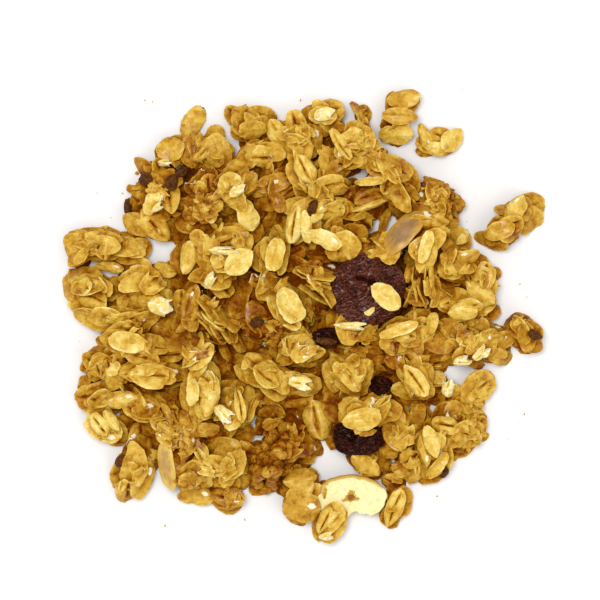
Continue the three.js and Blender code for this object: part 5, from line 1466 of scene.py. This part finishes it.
def shrivelled_object(name, spot, puckers, levels, wrinkle):
    """A shrivelled body: an oval with puckers over its top and fine wrinkles in its skin."""
    place = piece_named(name)
    points, triangles = even_ball(levels)
    angle = np.arctan2(points[:, 1], points[:, 0])
    radius = np.hypot(points[:, 0], points[:, 1])
    lobes = np.sin(puckers * angle + 1.3) + 0.6 * np.sin((puckers + 3) * angle + 4.0 * radius)
    outline = 1 + 0.022 * lobes * radius
    fold = spot["fold"] * np.sin(puckers * angle + 5.0 * radius)
    fold *= np.minimum(1, 2 * radius) * np.minimum(1, 3 * (1 - radius))
    shaped = np.column_stack(
        (
            points[:, 0] * spot["length"] / 2 * outline,
            points[:, 1] * spot["width"] / 2 * outline,
            signed_power(points[:, 2], 0.8) * spot["thickness"] / 2 + fold,
        )
    )
    start, end = np.array(FRUIT_CREASE)
    level = (shaped @ place.axes + place.place)[:, :2] - start
    run = end - start
    along = np.clip(level @ run / run.dot(run), 0, 1)
    off = np.linalg.norm(level - along[:, None] * run, axis=1)
    creased = np.exp(-((off / FOLD_WIDTH) ** 2)) * (points[:, 2] > 0)
    wrinkled = np.exp(-((rough(shaped * (0.7, 1.5, 1.0), 0.75, 8) / WRINKLE_WIDTH) ** 2))
    depth = FOLD_DEPTH * creased + WRINKLE_DEPTH * wrinkled
    shaped += points * (wrinkle * (0.15 - depth + 1.1 * rough(shaped, 0.3, 5)))[:, None]
    # The crease mark carries the depth of the fold and the wrinkles to the skin, where it is painted shade.
    marks = {"crease": np.clip(depth / FOLD_DEPTH, 0, 1)}
    points = shaped @ place.axes + place.place
    return object_from(name + "_skin", points, triangles, marks, shaped[:, :2].copy())


def banana_object():
    """The banana chip: an oval slice broken along one side, dished a little, with a browned rim."""
    bm = bmesh.new()
    bmesh.ops.create_uvsphere(bm, u_segments=96, v_segments=36, radius=1)
    points, triangles = arrays_of(bm)
    angle = np.arctan2(points[:, 1], points[:, 0])
    climb = np.arccos(np.clip(np.abs(points[:, 2]), 0, 1)) / (math.pi / 2)
    turn = np.clip((climb - 0.8) / 0.2, 0, 1) * math.pi / 2
    radius = np.minimum(1, climb / 0.8) * 0.965 + 0.035 * np.sin(turn)
    a = BANANA["length"] / 2
    b = BANANA["width"] / 2
    ragged = 1 + 0.012 * np.sin(9 * angle) + 0.01 * np.sin(17 * angle + 1)
    x = a * radius * np.cos(angle) * (1 + 0.015 * np.sin(5 * angle)) * ragged
    y = b * radius * np.sin(angle) * ragged
    torn = 0.3 * np.sin(1.9 * x) + 0.16 * np.sin(4.7 * x + 1)
    bite = BANANA_NOTCH["depth"] * np.exp(-(((x - BANANA_NOTCH["x"]) / BANANA_NOTCH["width"]) ** 2))
    y = np.maximum(y, BANANA_BROKEN_EDGE + bite + torn)
    flat = level_points(x, y)
    relief = 0.22 * rough(flat, 0.45, 5) + 0.1 * rough(flat, 1.4, 6)
    dish = 0.5 * (radius**2 - 0.4) + 0.22 * np.exp(-(((radius - 0.9) / 0.08) ** 2))
    z = np.sign(points[:, 2]) * np.cos(turn) * (BANANA["thickness"] / 2 - 0.45 + relief) + dish
    z = np.where(np.abs(points[:, 2]) < TINY, dish, z)
    tilt = Matrix.Rotation(BANANA_TILT[1], 3, "Y") @ Matrix.Rotation(BANANA_TILT[0], 3, "X")
    shaped = np.column_stack((x, y, z)) @ np.array(tilt).T
    centre = np.array((BANANA["x"], BANANA["y"], BANANA["z"]))
    browned = np.clip((radius - 0.72) / 0.2, 0, 1) * np.clip(0.35 + 0.9 * np.sin(angle - 0.1), 0, 1)
    arms = np.clip(np.cos(3 * angle + 1.4) + 0.35 * np.cos(5 * angle), 0, 1)
    marks = {"rim": browned, "arms": arms}
    return object_from("banana_slice", shaped + centre, triangles, marks, shaped[:, :2].copy())


def coconut_object(name, spot):
    """A coconut chip: a thin bowed strip with rounded ends."""
    place = piece_named(name)
    points, triangles = long_ball(32, 40)
    along = signed_power(points[:, 0], 0.85)
    across = signed_power(points[:, 1], 0.9)
    flat = level_points(along, across)
    wavy = 1 + 0.12 * rough(flat, 1.8, 4) + 0.04 * rough(flat, 5.0, 7)
    z = points[:, 2] * spot["thickness"] / 2 + COCONUT_BOW * (0.5 - along**2) + 0.25 * rough(flat, 2.2, 9)
    shaped = np.column_stack((along * spot["length"] / 2 * wavy, across * spot["width"] / 2 * wavy, z))
    marks = {"rim": np.clip((np.hypot(across, along) - 0.4) / 0.6, 0, 1)}
    points = shaped @ place.axes + place.place
    return object_from(name + "_strip", points, triangles, marks, shaped[:, :2].copy())


def crumb_pieces(pile, count):
    """Specks that fell beside the heap, inside its own bounds."""
    low, high = CAD_BOX
    dice = Dice(CRUMB_SEED)
    crumbs = []
    while len(crumbs) < count:
        x = dice.between(low.x, high.x) / MM
        y = dice.between(low.y, high.y) / MM
        across = dice.between(*CRUMB_SIZE)
        size = tuple(across * share for share in CRUMB_SHAPE)
        axes = axes_of(0, 0, dice.between(0, math.pi))
        shade = dice.between(*CRUMB_TONE)
        rows, columns = (
            slice(cell_of(value - CRUMB_CLEARANCE), cell_of(value + CRUMB_CLEARANCE) + 1) for value in (y, x)
        )
        if not (pile.owner[rows, columns] >= 0).any():
            crumbs.append(Piece("crumb", "crumbs", x, y, size, axes, shade, z=size[2] / 2))
    return crumbs


# ---- settings ----
def color_setting(name, code, about):
    return FloatVectorProperty(
        name=name, description=about, default=srgb(code), subtype="COLOR", size=4, min=0, max=1
    )


class GranolaSizes(bpy.types.PropertyGroup):
    """Sizes and counts that a user may change."""

    core_depth: FloatProperty(
        name="Core depth",
        description="How far the hidden core stays below the oats, in millimetres",
        default=1.6,
        min=0.2,
        max=6,
    )
    shards: IntProperty(name="Shards", description="Broken oats strewn over the heap", default=260, min=0)
    crusts: IntProperty(name="Crusts", description="Small crumbs that crust the lumps", default=240, min=0)
    crumbs: IntProperty(name="Crumbs", description="Specks lying beside the heap", default=20, min=0)
    starchy: FloatProperty(
        name="Starchy oats",
        description="Share of the oats with a torn white patch",
        default=0.12,
        min=0,
        max=1,
        subtype="FACTOR",
    )
    view_width: FloatProperty(
        name="View width",
        description="Width that the camera takes in",
        default=0.150,
        min=0.02,
        unit="LENGTH",
    )
    view_height: FloatProperty(
        name="Camera height",
        description="Height of the camera over the floor",
        default=0.8,
        min=0.2,
        unit="LENGTH",
    )


class GranolaColours(bpy.types.PropertyGroup):
    """Colours of the granola's parts."""

    burnt: color_setting("Burnt", "723204", "The darkest toasted oat")
    # Toast is the oats' own deep amber, and also the colour that the painted shade of hollows and creases
    # brings them to.
    toast: color_setting("Toast", "a46610", "Deep amber in hollows and creases")
    honey: color_setting("Honey", "c6942a", "The common brown gold of the oats")
    gold: color_setting("Gold", "e3bc50", "A light oat")
    pale: color_setting("Pale", "f3df8a", "The palest rims")
    starch: color_setting("Starch", "fff6d4", "Torn white faces")
    # Skin of the dried fruit: the darker colour also carries painted shade in the folds, the lighter one a
    # painted highlight on the ridges.
    fruit: color_setting("Fruit skin", "42130a", "The dried fruit in its folds")
    fruit_ridge_painted_light: color_setting("Fruit ridges", "a04e30", "The dried fruit on its ridges")
    # Painted glints: small pale specks on the ridges of the dried fruit and the raisins that stand in for
    # highlights.
    painted_glint: color_setting("Bloom", "b88e84", "Sugar bloom on the dried fruit")
    # Skin of the raisins: painted shade in the folds and a painted highlight on the ridges, as for the dried
    # fruit.
    raisin: color_setting("Raisin skin", "1a0504", "The raisins in their folds")
    raisin_ridge_painted_light: color_setting("Raisin ridges", "662a18", "The raisins on their ridges")
    flesh: color_setting("Banana", "fbf1b4", "Banana flesh")
    # Deeper flesh, used where the mottling is low; there it is partly painted shade in the hollows of the
    # bump.
    flesh_deep: color_setting("Banana shade", "eedb8e", "Banana flesh in its hollows")
    star: color_setting("Banana star", "c6900c", "The star of seeds in the banana")
    star_deep: color_setting("Banana seeds", "7e4e06", "The seeds in its middle")
    coconut: color_setting("Coconut", "a67c40", "The horny middle of a coconut chip")
    coconut_deep: color_setting("Coconut shade", "845a26", "Its darker streaks")
    coconut_pale: color_setting("Pale coconut", "cca250", "A thinner chip of coconut")
    seed: color_setting("Seed", "6e4222", "A dark seed")
    # Darker skin, used where the bump dips; there it is partly painted shade in the hollows.
    seed_deep: color_setting("Seed shade", "30140a", "A dark seed in its hollows")
    floor: color_setting("Floor", "f7f6f5", "The surface under the heap")
    floor_shade: color_setting("Floor shade", "e8e6e4", "Its faint darker clouds")


def setting_names(group):
    return [key for key in group.bl_rna.properties.keys() if key not in ("rna_type", "name")]


def sizes():
    return bpy.context.scene.granola_sizes


def colours():
    """Each colour as four plain numbers, by name."""
    group = bpy.context.scene.granola_colours
    return SimpleNamespace(**{key: tuple(getattr(group, key)) for key in setting_names(group)})


@functools.cache
def oats():
    return oat_material("toasted_oat", colours())


@functools.cache
def dark_seeds():
    return seed_material(colours())


def heap_pieces(layer):
    return [p for p in laid_pile().placed if p.group == "heap" and p.layer == layer]


def on_top(carrier, thickness, spot, tilt=(0.0, 0.0)):
    """A small piece that lies on a larger one of a thickness."""
    size = (spot["length"], spot["width"], spot["thickness"])
    axes = axes_of(*tilt, spot["heading"] * DEGREE)
    level = piece_named(carrier).z + thickness / 2 + spot["lift"]
    return Piece("topping", carrier, spot["x"], spot["y"], size, axes, spot["tone"], z=level)


@functools.cache
def oat_objects():
    """The oats of each object: one for each layer of the heap and one for each cluster beside it."""
    groups = {f"oats_{layer}": heap_pieces(layer) for layer in OAT_LAYERS}
    for name, *_ in LOOSE:
        groups[f"{name}_oats"] = [p for p in laid_pile().placed if p.group == name]
    return {name: oat_entries(pieces, sizes().starchy) for name, pieces in groups.items()}


# ---- operators ----
class GRANOLA_OT_core(bpy.types.Operator):
    """The low core behind the oats, coloured dark as painted shade"""

    bl_idname = "granola.core"
    bl_label = "Core"

    def execute(self, context):
        core = core_object(laid_pile(), sizes().core_depth)
        dress(core, core_material(colours()), "granola_heap")
        return {"FINISHED"}


class GRANOLA_OT_oats(bpy.types.Operator):
    """The rolled oats of the heap, one object for each layer"""

    bl_idname = "granola.oats"
    bl_label = "Oats"

    def execute(self, context):
        for layer in OAT_LAYERS:
            name = f"oats_{layer}"
            dress(joined(name, oat_objects()[name]), oats(), "granola_heap")
        return {"FINISHED"}


class GRANOLA_OT_loose_clusters(bpy.types.Operator):
    """The clusters that lie beside the heap"""

    bl_idname = "granola.loose_clusters"
    bl_label = "Loose clusters"

    def execute(self, context):
        for name, *_ in LOOSE:
            dress(joined(f"{name}_oats", oat_objects()[f"{name}_oats"]), oats(), name)
        return {"FINISHED"}


class GRANOLA_OT_bits(bpy.types.Operator):
    """Broken oats, crusts, crisp balls, dark seeds and crumpled white bits"""

    bl_idname = "granola.bits"
    bl_label = "Bits"

    def execute(self, context):
        clusters = [(*row[1:6], row[-1]) for row in LOWER + RIM + UPPER]
        shards = strewn(laid_pile(), "shard", clusters, sizes().shards, **SHARD)
        self.strew("shards", shards, mould_sets()["shard"], oats(), 0.35)
        crusts = strewn(laid_pile(), "crust", CRUSTS, sizes().crusts, **CRUST)
        self.strew("crusts", crusts, [chip_mould(seed) for seed in range(12)], oats(), 0.2)
        balls = oat_material("crisp_ball", colours(), shift=0.02, gloss=0.3)
        self.strew("crisp_balls", heap_pieces("ball"), [ball_mould(seed) for seed in range(5)], balls, 0)
        seeds = [seed_mould(seed) for seed in range(3)]
        self.strew("seeds", heap_pieces("seed"), seeds, dark_seeds(), 0)
        crumples = [flake_mould(seed, FINE, broken=True, crumpled=True) for seed in range(101, 107)]
        self.strew("white_bits", heap_pieces("crumple"), crumples, oats(), 0.75)
        return {"FINISHED"}

    def strew(self, name, pieces, moulds, material, starch):
        entries = [(moulds[i % len(moulds)], piece, starch) for i, piece in enumerate(pieces)]
        dress(joined(name, entries), material, "granola_heap")


class GRANOLA_OT_crumbs(bpy.types.Operator):
    """Specks on the floor beside the heap"""

    bl_idname = "granola.crumbs"
    bl_label = "Crumbs"

    def execute(self, context):
        moulds = [chip_mould(seed) for seed in range(20, 24)]
        pieces = crumb_pieces(laid_pile(), sizes().crumbs)
        entries = [(moulds[i % len(moulds)], piece, 1.0) for i, piece in enumerate(pieces)]
        crumbs = joined("crumbs", entries)
        crumbs.data.materials.append(oats())
        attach(crumbs, "root")
        return {"FINISHED"}


class GRANOLA_OT_dried_fruit(bpy.types.Operator):
    """The disc of dried fruit and the oat that lies on it"""

    bl_idname = "granola.dried_fruit"
    bl_label = "Dried fruit"

    def execute(self, context):
        tint = colours()
        skin = fruit_material("fruit_skin", tint.fruit, tint.fruit_ridge_painted_light, tint.painted_glint, 0.6, 0.3)
        fruit = shrivelled_object("dried_fruit", FRUIT, FRUIT_PUCKERS, levels=7, wrinkle=0.5)
        dress(fruit, skin, "dried_fruit")
        oat = on_top("dried_fruit", FRUIT["thickness"], OAT_ON_FRUIT, TILT_ON_FRUIT)
        bit = on_top("dried_fruit", FRUIT["thickness"], BIT_ON_FRUIT, TILT_ON_FRUIT)
        entries = [(flipped(flake_mould(84, FINE)), oat, 0.0), (chip_mould(3), bit, 0.9)]
        dress(joined("oat_lying_on_fruit", entries), oats(), "oat_on_fruit")
        return {"FINISHED"}


class GRANOLA_OT_raisins(bpy.types.Operator):
    """The three raisins and the seed that lies on the middle one"""

    bl_idname = "granola.raisins"
    bl_label = "Raisins"

    def execute(self, context):
        tint = colours()
        skin = fruit_material("raisin_skin", tint.raisin, tint.raisin_ridge_painted_light, tint.painted_glint, 0.12, 0.12)
        for name, spot in RAISINS.items():
            raisin = shrivelled_object(name, spot, RAISIN_PUCKERS, levels=6, wrinkle=0.75)
            dress(raisin, skin, name)
        seed = on_top("raisin_middle", RAISINS["raisin_middle"]["thickness"], SEED_ON_RAISIN)
        dress(joined("seed_on_raisin", [(seed_mould(4), seed, 0)]), dark_seeds(), "raisin_middle")
        return {"FINISHED"}


class GRANOLA_OT_banana_chip(bpy.types.Operator):
    """The broken banana chip"""

    bl_idname = "granola.banana_chip"
    bl_label = "Banana chip"

    def execute(self, context):
        dress(banana_object(), banana_material(colours()), "banana_chip")
        return {"FINISHED"}


class GRANOLA_OT_coconut_chips(bpy.types.Operator):
    """The two coconut chips"""

    bl_idname = "granola.coconut_chips"
    bl_label = "Coconut chips"

    def execute(self, context):
        tint = colours()
        horny = coconut_material("coconut_chip", tint.coconut, tint.coconut_deep, tint.honey)
        thin = coconut_material("thin_coconut_chip", tint.coconut_pale, tint.coconut, tint.gold)
        for (name, spot), material in zip(COCONUTS.items(), (horny, thin)):
            dress(coconut_object(name, spot), material, name)
        return {"FINISHED"}


class GRANOLA_OT_stage(bpy.types.Operator):
    """The floor, the soft lights and the camera straight above"""

    bl_idname = "granola.stage"
    bl_label = "Stage"

    def execute(self, context):
        self.add_floor(context)
        self.add_light(context, "key_light", **KEY_LIGHT)
        self.add_light(context, "fill_light", **FILL_LIGHT)
        world = bpy.data.worlds.new("white_room")
        world.use_nodes = True
        background = world.node_tree.nodes["Background"]
        background.inputs["Color"].default_value = (1, 1, 1, 1)
        background.inputs["Strength"].default_value = WORLD_LIGHT
        context.scene.world = world
        context.scene.view_settings.view_transform = "Standard"
        self.add_camera(context)
        return {"FINISHED"}

    def add_floor(self, context):
        bm = bmesh.new()
        bmesh.ops.create_grid(bm, x_segments=2, y_segments=2, size=FLOOR_SIZE / 2)
        mesh = bpy.data.meshes.new("floor")
        bm.to_mesh(mesh)
        bm.free()
        floor = bpy.data.objects.new("floor", mesh)
        floor.data.materials.append(floor_material(colours().floor, colours().floor_shade))
        context.scene.collection.objects.link(floor)

    def add_light(self, context, name, place, width, power):
        lamp = bpy.data.lights.new(name, "AREA")
        lamp.shape = "DISK"
        lamp.size = width
        lamp.energy = power
        light = bpy.data.objects.new(name, lamp)
        light.location = place
        light.rotation_mode = "QUATERNION"
        light.rotation_quaternion = (-Vector(place)).to_track_quat("-Z", "Y")
        context.scene.collection.objects.link(light)

    def add_camera(self, context):
        data = bpy.data.cameras.new("camera")
        height = sizes().view_height
        data.lens = data.sensor_width * (height - VIEW_LEVEL * MM) / sizes().view_width
        data.clip_end = 10
        camera = bpy.data.objects.new("camera", data)
        camera.location = (VIEW_CENTRE[0] * MM, VIEW_CENTRE[1] * MM, height)
        context.scene.collection.objects.link(camera)
        context.scene.camera = camera


class GRANOLA_PT_panel(bpy.types.Panel):
    """Buttons for the granola's parts"""

    bl_idname = "GRANOLA_PT_panel"
    bl_label = "Granola heap"
    bl_space_type = "VIEW_3D"
    bl_region_type = "UI"
    bl_category = "Granola"

    def draw(self, context):
        for operator in OPERATORS:
            self.layout.operator(operator.bl_idname)
        for group in (context.scene.granola_sizes, context.scene.granola_colours):
            for key in setting_names(group):
                self.layout.prop(group, key)


OPERATORS = (
    GRANOLA_OT_core,
    GRANOLA_OT_oats,
    GRANOLA_OT_loose_clusters,
    GRANOLA_OT_bits,
    GRANOLA_OT_crumbs,
    GRANOLA_OT_dried_fruit,
    GRANOLA_OT_raisins,
    GRANOLA_OT_banana_chip,
    GRANOLA_OT_coconut_chips,
    GRANOLA_OT_stage,
)
CLASSES = (GranolaSizes, GranolaColours, *OPERATORS, GRANOLA_PT_panel)


def register():
    for cls in CLASSES:
        bpy.utils.register_class(cls)
    bpy.types.Scene.granola_sizes = PointerProperty(type=GranolaSizes)
    bpy.types.Scene.granola_colours = PointerProperty(type=GranolaColours)


def unregister():
    del bpy.types.Scene.granola_colours
    del bpy.types.Scene.granola_sizes
    for cls in reversed(CLASSES):
        bpy.utils.unregister_class(cls)


def main():
    register()
    for operator in OPERATORS:
        group, action = operator.bl_idname.split(".")
        getattr(getattr(bpy.ops, group), action)()


if __name__ == "__main__":
    main()
